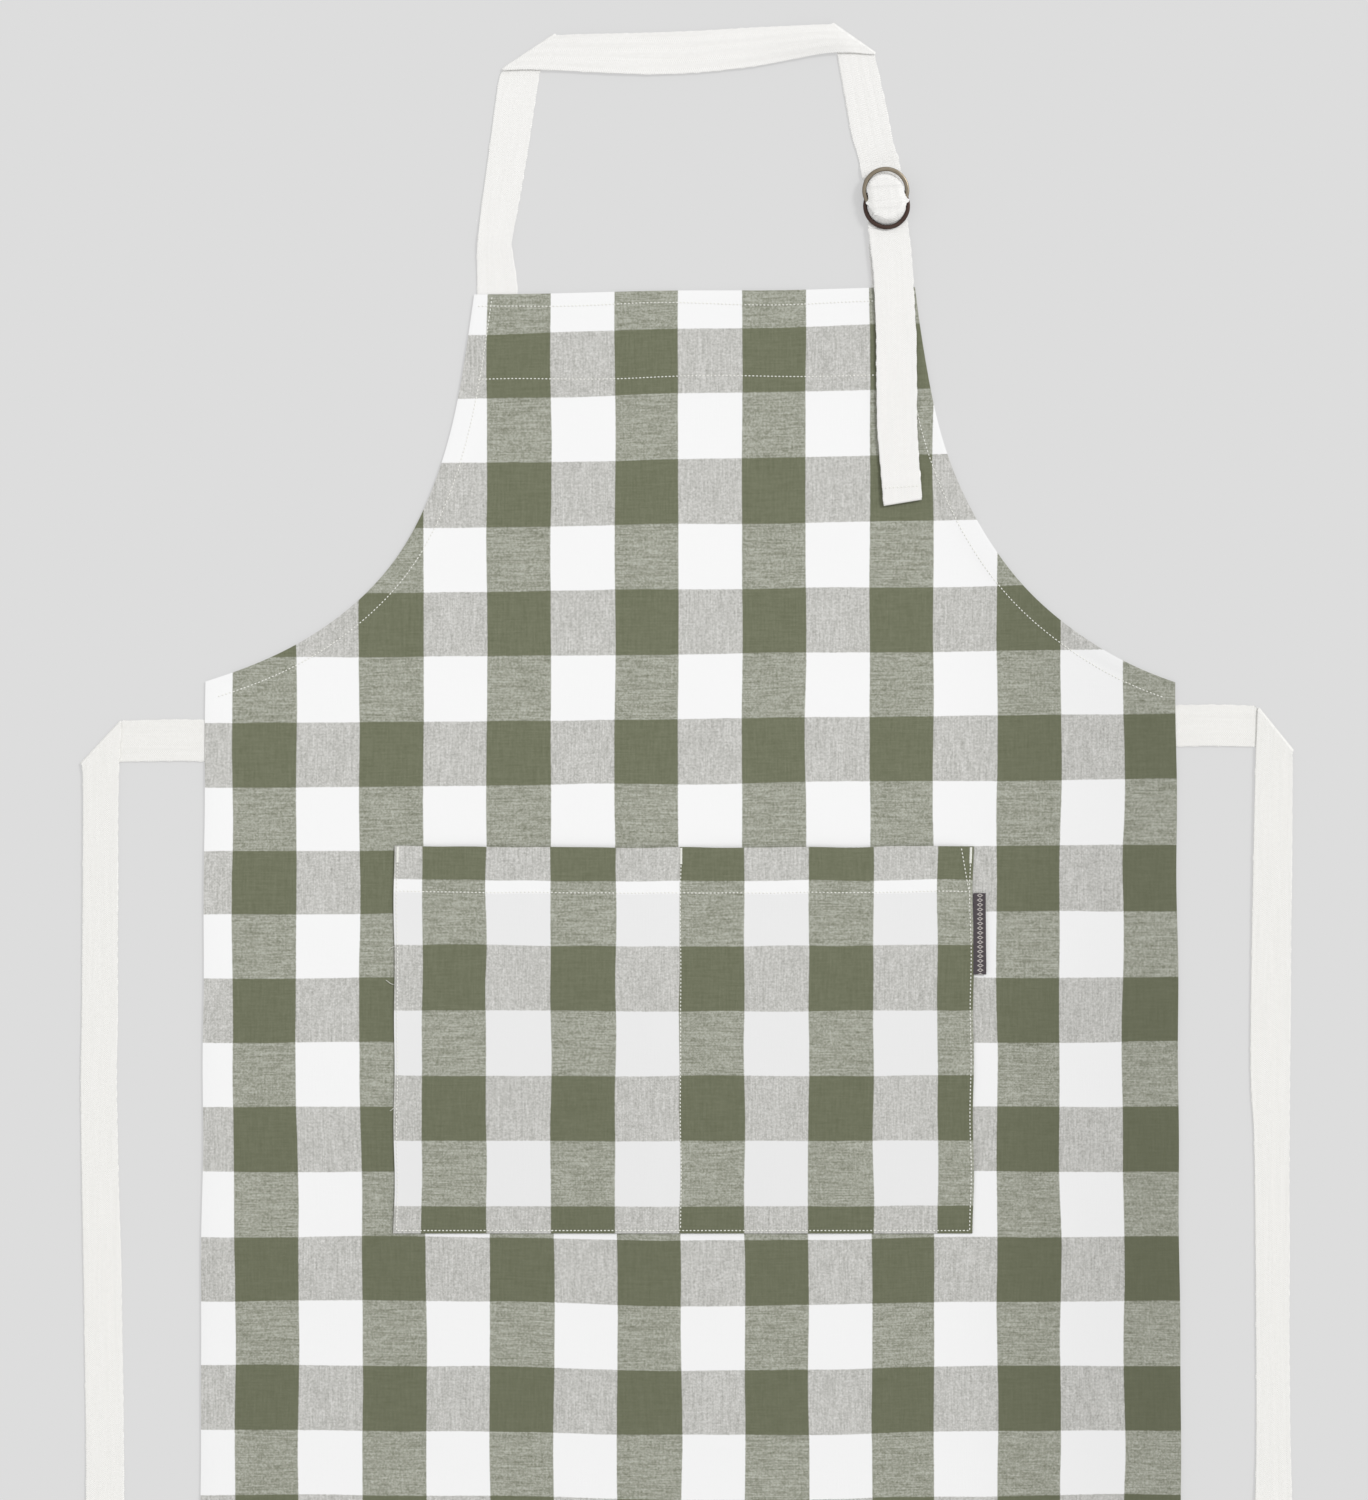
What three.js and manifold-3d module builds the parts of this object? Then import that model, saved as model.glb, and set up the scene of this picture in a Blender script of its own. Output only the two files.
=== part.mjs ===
// Gingham bib apron laid flat, front up: a panel of checked cloth with a hemmed bib, a two-part
// patch pocket, two waist ties and an adjustable neck strap that runs through a pair of metal rings.
// Millimetres. +X to the wearer's left hand side as drawn, +Y towards the neck, +Z out of the cloth.
// While it is drawn, Y = 0 is the top edge of the bib; the last lines centre the whole apron.
import * as THREE from 'three';
import { mergeVertices } from 'three/addons/utils/BufferGeometryUtils.js';
import Module from 'manifold-3d';

const wasm = await Module();
wasm.setup();

// ---- Driving dimensions ------------------------------------------------------------------------
const gap = 0.3; // clearance between touching pieces
const cloth = 0.6; // thickness of the panel cloth
const webbing = 1.4; // thickness of the cotton tape
const tapeWidth = 30;
const thread = 0.3; // height of a sewn line above the cloth
const threadWidth = 0.8;

const bibWidth = 331;
const bibShift = 3; // the bib stands this far right of the skirt's middle
const armholeLean = [bibShift, 1, 11.5, 0]; // and so do the four points that steer each armhole
const waistWidth = 727;
const skirtWidth = 735.5;
const apronLength = 940;
const armholeDrop = 292;
const facingFlare = 10; // how much further out the bib's turned band reaches at its lower edge

const facingDepth = 72; // turned band behind the bib's top edge
const facingStitches = [10.5, 64.5]; // its two sewn lines, below the top edge
const armholeHem = 15;
const armholeStitch = 13.6;
const sideHem = 20;
const bottomHem = 25;
const bottomStitch = 22;

const pocketWidth = 434;
const pocketHeight = 290;
const pocketTop = 415; // below the bib's top edge
const pocketShift = -5.3;
const pocketHem = 35;
const pocketCavity = 1; // room under the pocket's cloth
const hemTurn = 0.5; // the mouth's turned hem takes this much of it
const rimWidth = 5;
const dividerWidth = 2;
const dividerShift = -1.9; // middle seam, from the middle of the pocket
const pocketStitchInset = 2.4;
const bartackLength = 11.5;
const bartackWidth = 2;
const bartackHeight = 0.5;

const labelLength = 61;
const labelWidth = 9.3;
const labelTop = 35; // below the pocket's top edge

const rootLength = 14; // sewn end of each tape, under the panel
const strapReach = 179; // height of the neck loop's left corner above the bib
const strapInset = 17.4; // middle of each neck tape, in from the bib's corner
const loopLean = 19.3; // the loop's left corner stands this far right of the tape's sewn end
const loopSpan = 247.5; // from the loop's left corner to its right one
const loopRise = 10.5; // the right corner is this much higher
const tieLength = 670;
const tieDrop = 336; // middle of the left tie, below the bib's top edge
const tieRise = 11.2; // the right tie is sewn on this much higher
const tieReach = 78.5; // from the panel's side to the hanging part of the left tie
const tieShift = 6.8; // the right tie hangs this much closer to the panel

const ringRadius = 16; // to the middle of the ring's band
const ringBand = 3.2;
const ringHeight = 2;
const ringSpread = 11.3; // distance between the two ring centres
const ringInset = 22.5; // upper ring's centre, in from the bib's corner
const ringAboveBib = 75.8; // and above the bib's top edge
const ringTilt = THREE.MathUtils.degToRad(3.8); // lean of the tape through the rings
const anchorThroat = 20; // width of the folded anchor tape inside the rings
const strapThroat = 14; // width of the gathered neck tape inside the rings
const tailLength = 190.5;
const tailHemStitch = 12;

// ---- Heights of the layers ---------------------------------------------------------------------
const panelZ = webbing + gap;
const panelTop = panelZ + cloth;
const upperTapeZ = webbing + gap;
const tailZ = 2 * (webbing + gap);
const pocketZ = panelTop + gap;
const pocketClothZ = pocketZ + pocketCavity;
const pocketTopZ = pocketClothZ + cloth;
const lowerRingZ = tailZ + webbing + gap;
const upperRingZ = lowerRingZ + ringHeight + gap;

// ---- Materials ---------------------------------------------------------------------------------
const material = (color, roughness, metalness = 0) =>
  new THREE.MeshStandardMaterial({ color, roughness, metalness });
const gingham = () => material('#a3a594', 0.9);
const cottonTape = () => material('#f2efe9', 0.9);
const cottonThread = () => material('#e4e4d8', 0.8);
const wovenLabel = () => material('#463f42', 0.85);
const paleMetal = () => material('#7d7263', 0.35, 1);
const darkMetal = () => material('#4a3c38', 0.35, 1);

// ---- Small helpers -----------------------------------------------------------------------------
const at = (x, y) => new THREE.Vector2(x, y);

// A flat piece: an outline in the XY plane with its lower face at z.
function plate(outline, z, thickness) {
  const shape = new THREE.Shape(outline);
  const geometry = new THREE.ExtrudeGeometry(shape, { depth: thickness, bevelEnabled: false });
  return geometry.translate(0, 0, z);
}

function slab(xLow, xHigh, yLow, yHigh, z, thickness) {
  return plate([at(xLow, yLow), at(xHigh, yLow), at(xHigh, yHigh), at(xLow, yHigh)], z, thickness);
}

function toSolid(geometry) {
  const bare = geometry.clone();
  bare.deleteAttribute('normal');
  bare.deleteAttribute('uv');
  const merged = mergeVertices(bare);
  const vertProperties = new Float32Array(merged.attributes.position.array);
  const triVerts = new Uint32Array(merged.index.array);
  return new wasm.Manifold(new wasm.Mesh({ numProp: 3, vertProperties, triVerts }));
}

function toGeometry(solid) {
  const mesh = solid.getMesh();
  const geometry = new THREE.BufferGeometry();
  geometry.setAttribute('position', new THREE.BufferAttribute(mesh.vertProperties, 3));
  geometry.setIndex(new THREE.BufferAttribute(mesh.triVerts, 1));
  geometry.computeVertexNormals();
  return geometry;
}

const join = (...pieces) => toGeometry(pieces.map(toSolid).reduce((whole, piece) => whole.add(piece)));

const cut = (body, ...tools) =>
  toGeometry(tools.map(toSolid).reduce((whole, tool) => whole.subtract(tool), toSolid(body)));

// Points at a signed distance to the left of an open line, with mitred corners.
function offsetLine(line, distance) {
  return line.map((point, i) => {
    const before = line[Math.max(i - 1, 0)];
    const after = line[Math.min(i + 1, line.length - 1)];
    const into = (i === 0 ? after.clone().sub(point) : point.clone().sub(before)).normalize();
    const out = (i === line.length - 1 ? into.clone() : after.clone().sub(point)).normalize();
    const mitre = at(-into.y - out.y, into.x + out.x).normalize();
    return point.clone().addScaledVector(mitre, distance / mitre.dot(at(-into.y, into.x)));
  });
}

// Outline of the strip between two offsets of an open line.
const strip = (line, right, left) => [...offsetLine(line, right), ...offsetLine(line, left).reverse()];

const band = (line, width) => strip(line, -width / 2, width / 2);

const sewnLine = (line, z) => plate(band(line, threadWidth), z, thread);

const mirrored = (line) => line.map((point) => at(-point.x, point.y)).reverse();

function mesh(name, geometry, finish) {
  const piece = new THREE.Mesh(geometry, finish);
  piece.name = name;
  return piece;
}

// ---- The panel's outline -----------------------------------------------------------------------
const halfBib = bibWidth / 2;
const halfWaist = waistWidth / 2;
const halfSkirt = skirtWidth / 2;
const armholeFlare = halfWaist - halfBib;

// An armhole drawn on the right, from the bib's corner down and out to the waist. Its lean is 1 for
// the right one, and -1 for the left one, which is then mirrored.
function armhole(lean) {
  const places = [
    at(halfBib, 0),
    at(halfBib + 0.08 * armholeFlare, -0.5 * armholeDrop),
    at(halfBib + 0.265 * armholeFlare, -0.837 * armholeDrop),
    at(halfWaist, -armholeDrop),
  ];
  places.forEach((place, i) => place.setX(place.x + lean * armholeLean[i]));
  return new THREE.CubicBezierCurve(...places).getPoints(24);
}

const rightArmhole = armhole(1);
const leftArmhole = mirrored(armhole(-1));

// Half-width of the panel's side at a height between the waist and the hem.
function sideAt(y) {
  const share = (-y - armholeDrop) / (apronLength - armholeDrop);
  return THREE.MathUtils.lerp(halfWaist, halfSkirt, share);
}

function panel() {
  const hem = [at(halfSkirt, -apronLength), at(-halfSkirt, -apronLength)];
  return mesh('panel', plate([...rightArmhole, ...hem, ...leftArmhole], panelZ, cloth), gingham());
}

// ---- Neck tape and tie places ------------------------------------------------------------------
const throughRings = at(Math.sin(ringTilt), -Math.cos(ringTilt)); // along the tape, towards the bib
const ringOrigin = at(halfBib + bibShift - ringInset, ringAboveBib);
const alongRings = (s) => ringOrigin.clone().addScaledVector(throughRings, s);
const bibEdgeS = (ringAboveBib - gap) / Math.cos(ringTilt);

const leftStrapX = -halfBib + bibShift + strapInset;
const rightStrapX = alongRings(bibEdgeS).x;
const leftTieY = -tieDrop;
const rightTieY = -tieDrop + tieRise;

// ---- Hems behind the panel ---------------------------------------------------------------------
const rootNotch = (x) =>
  slab(x - tapeWidth / 2 - gap, x + tapeWidth / 2 + gap, -rootLength - gap, 1, -1, webbing + 2);

function bibFacing() {
  const above = (point) => point.y > -facingDepth;
  const reach = halfBib + facingFlare;
  const foot = [at(bibShift + reach, -facingDepth), at(bibShift - reach, -facingDepth)];
  const outline = [...rightArmhole.filter(above), ...foot, ...leftArmhole.filter(above)];
  const body = plate(outline, 0, webbing);
  return mesh('bib_facing', cut(body, rootNotch(leftStrapX), rootNotch(rightStrapX)), gingham());
}

function armholeHems() {
  const aboveHem = slab(-halfSkirt, halfSkirt, -facingDepth - gap, 10, -1, webbing + 2);
  const right = strip(rightArmhole, -armholeHem, -0.1);
  const left = strip(leftArmhole, -armholeHem, -0.1);
  return [
    mesh('armhole_hem_right', cut(plate(right, 0, webbing), aboveHem), gingham()),
    mesh('armhole_hem_left', cut(plate(left, 0, webbing), aboveHem), gingham()),
  ];
}

// A box across the panel's side at a tie, from some distance inside the edge to some distance outside.
function acrossSide(sign, y, inside, outside, halfHeight, z, height) {
  const edge = sign * sideAt(y);
  const ends = [edge - sign * inside, edge + sign * outside];
  return slab(Math.min(...ends), Math.max(...ends), y - halfHeight, y + halfHeight, z, height);
}

function sideHemAt(sign, tieY, name) {
  const top = -armholeDrop - armholeHem - 2 * gap;
  const foot = -apronLength + bottomHem + gap;
  const edge = (y, inset) => at(sign * (sideAt(y) - inset), y);
  const outline = [edge(top, 0), edge(foot, 0), edge(foot, sideHem), edge(top, sideHem)];
  const notch = acrossSide(sign, tieY, rootLength + gap, 5, tapeWidth / 2 + gap, -1, webbing + 2);
  return mesh(name, cut(plate(outline, 0, webbing), notch), gingham());
}

function bottomHemBand() {
  const top = -apronLength + bottomHem;
  const outline = [
    at(-halfSkirt, -apronLength),
    at(halfSkirt, -apronLength),
    at(sideAt(top), top),
    at(-sideAt(top), top),
  ];
  return mesh('bottom_hem', plate(outline, 0, webbing), gingham());
}

// ---- Sewn lines on the panel -------------------------------------------------------------------
function panelStitches() {
  const z = panelTop + gap;
  const armLine = (edge) => offsetLine(edge, -armholeStitch);
  const facingLine = (depth) => {
    const reach = halfBib - armholeStitch - threadWidth - gap;
    return [at(bibShift - reach, -depth), at(bibShift + reach, -depth)];
  };
  const hemY = -apronLength + bottomStitch;
  return [
    mesh('facing_stitch_upper', sewnLine(facingLine(facingStitches[0]), z), cottonThread()),
    mesh('facing_stitch_lower', sewnLine(facingLine(facingStitches[1]), z), cottonThread()),
    mesh('armhole_stitch_right', sewnLine(armLine(rightArmhole), z), cottonThread()),
    mesh('armhole_stitch_left', sewnLine(armLine(leftArmhole), z), cottonThread()),
    mesh('bottom_stitch', sewnLine([at(-halfSkirt + 1, hemY), at(halfSkirt - 1, hemY)], z), cottonThread()),
  ];
}

// ---- Pocket ------------------------------------------------------------------------------------
const pocketLeft = pocketShift - pocketWidth / 2;
const pocketRight = pocketShift + pocketWidth / 2;
const pocketMouth = -pocketTop;
const pocketFoot = -pocketTop - pocketHeight;
const dividerX = pocketShift + dividerShift;

// One cloth layer held off the panel by its sewn rim and the middle seam; open along the top.
function pocket() {
  const block = slab(pocketLeft, pocketRight, pocketFoot, pocketMouth, pocketZ, pocketTopZ - pocketZ);
  const hollow = (left, right, top, ceiling) =>
    slab(left, right, pocketFoot + rimWidth, top, pocketZ - 1, ceiling - pocketZ + 1);
  const halves = [
    [pocketLeft + rimWidth, dividerX - dividerWidth / 2],
    [dividerX + dividerWidth / 2, pocketRight - rimWidth],
  ];
  const hollows = halves.flatMap(([left, right]) => [
    hollow(left, right, pocketMouth - pocketHem, pocketClothZ),
    hollow(left, right, pocketMouth + 1, pocketClothZ - hemTurn),
  ]);
  return mesh('pocket', cut(block, ...hollows), gingham());
}

function pocketStitches() {
  const z = pocketTopZ + gap;
  const left = pocketLeft + pocketStitchInset;
  const right = pocketRight - pocketStitchInset;
  const foot = pocketFoot + pocketStitchInset;
  const start = pocketMouth - bartackLength - 2 * gap - 1;
  const hemY = pocketMouth - pocketHem + 1;
  const clear = threadWidth + gap;
  const line = (name, points) => mesh(name, sewnLine(points, z), cottonThread());
  return [
    line('pocket_edge_stitch', [at(left, start), at(left, foot), at(right, foot), at(right, start)]),
    line('pocket_divider_stitch', [at(dividerX, start), at(dividerX, foot + clear)]),
    line('pocket_hem_stitch_left', [at(left + clear, hemY), at(dividerX - clear, hemY)]),
    line('pocket_hem_stitch_right', [at(dividerX + clear, hemY), at(right - clear, hemY)]),
  ];
}

function bartacks() {
  const places = {
    left: pocketLeft + pocketStitchInset,
    middle: dividerX,
    right: pocketRight - pocketStitchInset,
  };
  const top = pocketMouth - 1;
  return Object.entries(places).map(([side, x]) => {
    const half = bartackWidth / 2;
    const bar = slab(x - half, x + half, top - bartackLength, top, pocketTopZ + gap, bartackHeight);
    return mesh(`pocket_bartack_${side}`, bar, cottonThread());
  });
}

function sideLabel() {
  const top = pocketMouth - labelTop;
  const x = pocketRight + gap;
  return mesh('label', slab(x, x + labelWidth, top - labelLength, top, pocketZ, cloth), wovenLabel());
}

// ---- Folded tapes ------------------------------------------------------------------------------
// Outline of a straight stretch of tape whose two ends are cut along given directions.
function tapeOutline(from, to, fromCut, toCut, width = tapeWidth) {
  const along = to.clone().sub(from).normalize();
  const across = at(-along.y, along.x).multiplyScalar(width / 2);
  const corner = (point, cutLine, sign) => {
    const side = across.clone().multiplyScalar(sign);
    return point.clone().addScaledVector(cutLine, side.lengthSq() / cutLine.dot(side));
  };
  return [corner(from, fromCut, 1), corner(from, fromCut, -1), corner(to, toCut, -1), corner(to, toCut, 1)];
}

// The turned edge that joins the two layers of tape along a crease.
function creaseWall(crease, inward, z, height) {
  const [a, b] = crease;
  const along = b.clone().sub(a).normalize();
  const outline = [
    a.clone().addScaledVector(along, 0.1),
    b.clone().addScaledVector(along, -0.1),
    b.clone().addScaledVector(along, -1.4 * webbing).addScaledVector(inward, webbing),
    a.clone().addScaledVector(along, 1.4 * webbing).addScaledVector(inward, webbing),
  ];
  return plate(outline, z, height);
}

// A tape that runs through the points and is folded over at each corner; heights gives the lower
// face of each stretch.
function foldedTape(points, heights, firstCut, lastCut) {
  const heading = points.slice(1).map((point, i) => point.clone().sub(points[i]).normalize());
  const creases = heading.slice(1).map((out, i) => out.clone().add(heading[i]).normalize());
  const cuts = [firstCut, ...creases, lastCut];
  const pieces = heading.map((_, i) => {
    const outline = tapeOutline(points[i], points[i + 1], cuts[i], cuts[i + 1]);
    return plate(THREE.ShapeUtils.area(outline) < 0 ? outline.reverse() : outline, heights[i], webbing);
  });
  for (let i = 1; i < heading.length; i += 1) {
    const outline = tapeOutline(points[i - 1], points[i], cuts[i - 1], cuts[i]);
    const inward = heading[i].clone().sub(heading[i - 1]).normalize();
    const low = Math.min(heights[i - 1], heights[i]);
    const high = Math.max(heights[i - 1], heights[i]) + webbing;
    pieces.push(creaseWall([outline[2], outline[3]], inward, low, high - low));
  }
  return pieces;
}

// ---- Rings and the tape through them -----------------------------------------------------------
// A ring lying flat, with its lower face at z and the corners of its band eased.
function ring(name, s, z, finish) {
  const ease = 0.4;
  const inner = ringRadius - ringBand / 2;
  const outer = ringRadius + ringBand / 2;
  const profile = [
    at(inner + ease, 0), at(outer - ease, 0), at(outer, ease), at(outer, ringHeight - ease),
    at(outer - ease, ringHeight), at(inner + ease, ringHeight), at(inner, ringHeight - ease),
    at(inner, ease), at(inner + ease, 0),
  ];
  const geometry = new THREE.LatheGeometry(profile, 48).rotateX(Math.PI / 2);
  const piece = mesh(name, geometry, finish);
  const centre = alongRings(s);
  piece.position.set(centre.x, centre.y, z);
  return piece;
}

// A tape seen from its side: a line of (distance along, height) points, thickened and given a width.
function sideRibbon(line, width) {
  const outline = band(line, webbing);
  const depth = { depth: width, bevelEnabled: false };
  const geometry = new THREE.ExtrudeGeometry(new THREE.Shape(outline), depth).translate(0, 0, -width / 2);
  const s = new THREE.Vector3(throughRings.x, throughRings.y, 0);
  const up = new THREE.Vector3(0, 0, 1);
  const turn = new THREE.Matrix4().makeBasis(s, up, s.clone().cross(up));
  return geometry.applyMatrix4(turn.setPosition(ringOrigin.x, ringOrigin.y, 0));
}

// Part of a circle in the side view, from one angle to another in degrees.
function arc(centre, radius, from, to, steps) {
  return Array.from({ length: steps + 1 }, (_, i) => {
    const angle = THREE.MathUtils.degToRad(from + ((to - from) * i) / steps);
    return at(centre.x + radius * Math.cos(angle), centre.y + radius * Math.sin(angle));
  });
}

const half = webbing / 2;
const loopTopZ = upperRingZ + ringHeight + gap + half; // middle of the anchor's upper layer
const hairpinRadius = (loopTopZ - half) / 2;
const lowerRingEdge = ringSpread - ringRadius - ringBand / 2;
const hairpin = at(lowerRingEdge - 0.45 + hairpinRadius - half, half + hairpinRadius);
const descentS = ringRadius + ringBand / 2 + 0.7; // where the anchor turns down, past the upper ring
const descentRun = 2.9;
const layerStep = webbing + 0.5; // spacing of the neck tape over the anchor
const sewnS = 34; // end of the anchor's turned layer
const tailPivotS = 42;
const neckEndS = tailPivotS - 1.6; // leaves room for the tail to turn about its pivot
const narrowingS = -14.5; // where the neck tape starts its climb to the rings
const narrowS = -28; // start of its narrow stretch
const flatEndS = -21; // end of its full-width stretch, which overlaps the narrow one

function anchorLoop() {
  const loop = [
    at(sewnS + 3, half),
    ...arc(hairpin, hairpinRadius, -90, -270, 12),
    at(descentS, loopTopZ),
    at(descentS + descentRun, upperTapeZ + half),
    at(sewnS, upperTapeZ + half),
  ];
  const acrossTape = at(1, 0);
  const flat = tapeOutline(alongRings(sewnS + 2), alongRings(bibEdgeS), acrossTape, acrossTape);
  const solid = join(plate(flat.reverse(), 0, webbing), sideRibbon(loop, anchorThroat));
  return mesh('anchor_loop', solid, cottonTape());
}

// Middle line of the neck tape where it climbs through the upper ring, crosses the anchor loop and
// dives under the lower ring.
function threadedLine() {
  const wrap = hairpinRadius + layerStep;
  const topZ = hairpin.y + wrap;
  const slope = (loopTopZ - upperTapeZ - half) / descentRun;
  const shift = layerStep * Math.hypot(1, 1 / slope);
  const tailMid = tailZ + half;
  const descent = (z) => descentS + shift - (z - loopTopZ) / slope;
  return [
    at(narrowS, half),
    at(narrowingS, half),
    ...arc(hairpin, wrap, 200, 90, 8),
    at(descent(topZ), topZ),
    at(descent(tailMid), tailMid),
    at(neckEndS, tailMid),
  ];
}

function neckStrap() {
  const start = at(leftStrapX, gap);
  const leftCorner = at(leftStrapX + loopLean, strapReach);
  const rightCorner = at(leftCorner.x + loopSpan, strapReach + loopRise);
  const entry = alongRings(flatEndS);
  const heading = entry.clone().sub(rightCorner).normalize();
  const points = [start, leftCorner, rightCorner, entry];
  const lastCut = at(-heading.y, heading.x);
  const flat = foldedTape(points, [0, upperTapeZ, 0], at(1, 0), lastCut);
  return mesh('neck_strap', join(...flat, sideRibbon(threadedLine(), strapThroat)), cottonTape());
}

function strapTail() {
  const start = alongRings(tailPivotS + gap);
  const end = alongRings(tailPivotS + gap + tailLength);
  const squareCut = at(-throughRings.y, throughRings.x);
  const outline = tapeOutline(start, end, at(1, 0), squareCut);
  const stitchEnd = alongRings(tailPivotS + gap + tailLength - tailHemStitch);
  const reach = squareCut.clone().multiplyScalar(tapeWidth / 2 - 1);
  const stitch = [stitchEnd.clone().sub(reach), stitchEnd.clone().add(reach)];
  return [
    mesh('strap_tail', plate(outline.reverse(), tailZ, webbing), cottonTape()),
    mesh('tail_hem_stitch', sewnLine(stitch, tailZ + webbing + gap), cottonThread()),
  ];
}

// ---- Sewn ends of the tapes --------------------------------------------------------------------
function tapeRoots() {
  const strapRoot = (name, x) =>
    mesh(name, slab(x - tapeWidth / 2, x + tapeWidth / 2, -rootLength, 0, 0, webbing), cottonTape());
  return [strapRoot('neck_strap_root', leftStrapX), strapRoot('anchor_root', rightStrapX)];
}

// ---- Waist ties --------------------------------------------------------------------------------
// A tie leaves the panel's side, folds over itself and hangs down beside the skirt.
function waistTie(sign, y, reach, name) {
  const edge = sideAt(y) + gap;
  const corner = at(sign * (edge + reach), y);
  const end = at(corner.x, y - (tieLength - reach));
  const flat = foldedTape([at(sign * edge, y), corner, end], [0, upperTapeZ], at(0, 1), at(1, 0));
  return mesh(name, join(...flat), cottonTape());
}

const tieRoot = (sign, y, name) =>
  mesh(name, acrossSide(sign, y, rootLength, 0, tapeWidth / 2, 0, webbing), cottonTape());

// ---- The whole apron ---------------------------------------------------------------------------
const apron = new THREE.Group();
apron.name = 'apron';
apron.add(
  panel(),
  bibFacing(),
  ...armholeHems(),
  sideHemAt(-1, leftTieY, 'side_hem_left'),
  sideHemAt(1, rightTieY, 'side_hem_right'),
  bottomHemBand(),
  ...panelStitches(),
  pocket(),
  ...pocketStitches(),
  ...bartacks(),
  sideLabel(),
  ...tapeRoots(),
  tieRoot(-1, leftTieY, 'tie_root_left'),
  tieRoot(1, rightTieY, 'tie_root_right'),
  neckStrap(),
  anchorLoop(),
  ring('ring_lower', ringSpread, lowerRingZ, darkMetal()),
  ring('ring_upper', 0, upperRingZ, paleMetal()),
  ...strapTail(),
  waistTie(-1, leftTieY, tieReach, 'tie_left'),
  waistTie(1, rightTieY, tieReach - tieShift, 'tie_right'),
);

// The origin is under the middle of the whole apron, on the surface that it lies on.
const bounds = new THREE.Box3().setFromObject(apron);
const middle = bounds.getCenter(new THREE.Vector3());
apron.position.set(-middle.x, -middle.y, -bounds.min.z);

export default apron;
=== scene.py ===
"""The looks of the gingham bib apron: woven cloth, cotton tape, metal rings, thread and label.

The apron lies flat, front up. Shapes are worked out in millimetres from the middle of the bib's top
edge, and to_frame() places them in the CAD frame, in metres.
"""

import math

import bpy
import numpy as np
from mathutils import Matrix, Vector


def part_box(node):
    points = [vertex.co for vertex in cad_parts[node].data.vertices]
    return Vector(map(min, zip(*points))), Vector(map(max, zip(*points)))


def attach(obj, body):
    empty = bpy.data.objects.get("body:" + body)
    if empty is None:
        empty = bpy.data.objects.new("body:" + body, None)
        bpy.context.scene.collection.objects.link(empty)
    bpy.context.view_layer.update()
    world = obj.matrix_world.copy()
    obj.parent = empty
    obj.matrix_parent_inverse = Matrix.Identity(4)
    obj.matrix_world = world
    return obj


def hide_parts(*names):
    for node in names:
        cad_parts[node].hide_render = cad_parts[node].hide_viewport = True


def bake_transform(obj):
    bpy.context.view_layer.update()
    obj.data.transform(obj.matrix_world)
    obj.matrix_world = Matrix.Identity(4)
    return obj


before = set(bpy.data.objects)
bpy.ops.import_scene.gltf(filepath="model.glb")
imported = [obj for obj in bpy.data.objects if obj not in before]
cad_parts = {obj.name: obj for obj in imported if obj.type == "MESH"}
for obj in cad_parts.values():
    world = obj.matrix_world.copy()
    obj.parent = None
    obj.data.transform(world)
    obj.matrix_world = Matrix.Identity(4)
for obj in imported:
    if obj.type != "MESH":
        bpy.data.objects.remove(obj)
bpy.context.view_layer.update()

# ---- Places read from the frame, in millimetres ----
MM = 0.001
panel_low, panel_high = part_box("panel")
ORIGIN = np.array([(panel_low.x + panel_high.x) / 2, panel_high.y, 0.0])


def box_mm(node):
    """The low and high corner of a CAD node, in the apron's millimetres."""
    low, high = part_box(node)
    return (np.array(low) - ORIGIN) / MM, (np.array(high) - ORIGIN) / MM


def middle_mm(node):
    low, high = box_mm(node)
    return (low + high) / 2


def to_frame(points):
    """Places in the apron's millimetres, in the CAD frame's metres."""
    return np.asarray(points, float) * MM + ORIGIN


# ---- Sizes of the cloth, as the CAD source has them ----
HALF_SKIRT = (panel_high.x - panel_low.x) / 2 / MM
LENGTH = (panel_high.y - panel_low.y) / MM
SIDES = {"right": 1, "left": -1}
HALF_BIB = 165.5
BIB_SHIFT = 3.0
ARMHOLE_LEAN = (BIB_SHIFT, 1.0, 11.5, 0.0)  # how far right each point that steers an armhole stands
HALF_WAIST = 363.5
ARMHOLE_DROP = 292.0
ARMHOLE_STITCH = 13.6
ARMHOLE_HEM = 15.0
FACING_DEPTH = 72.0
FACING_STITCHES = (10.5, 64.5)
BOTTOM_HEM = 25.0
BOTTOM_STITCH = 22.0
SIDE_HEM = 20.0
POCKET_HEM = 35.0
ROOT_ROOM = 15.0  # left free in a hem for a tape's sewn end
CLOTH = 0.6
TAPE = 1.4
TAPE_WIDTH = 30.0

PANEL_Z = (panel_low.z + panel_high.z) / 2 / MM
POCKET_LOW, POCKET_HIGH = box_mm("pocket")
TAPE_Z = TAPE / 2
UPPER_TAPE_Z = TAPE_Z + TAPE + 0.3
TAIL_Z = middle_mm("strap_tail")[2]

# Gingham: the checks' pitch and the middle of one dark stripe each way, from the bib's top middle.
PANEL_CHECKS = {"pitch": (95.55, 96.9), "middle": (-33.0, -53.2)}
POCKET_CHECKS = {"pitch": (96.6, 97.8), "middle": (16.1, -513.4)}

# Light that falls on a level white surface; painted colours are divided by it.
LIGHT = 1.143


# ---- Small helpers ----
def linear(red, green, blue):
    """The colour that shows as this 0-255 colour under the scene's light."""
    def one(value):
        share = value / 255
        return share / 12.92 if share <= 0.04045 else ((share + 0.055) / 1.055) ** 2.4
    return tuple(one(value) / LIGHT for value in (red, green, blue)) + (1.0,)


def smooth(value, low, high):
    """0 below low and 1 above high, eased between."""
    share = np.clip((np.asarray(value, float) - low) / (high - low), 0, 1)
    return share * share * (3 - 2 * share)


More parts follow.
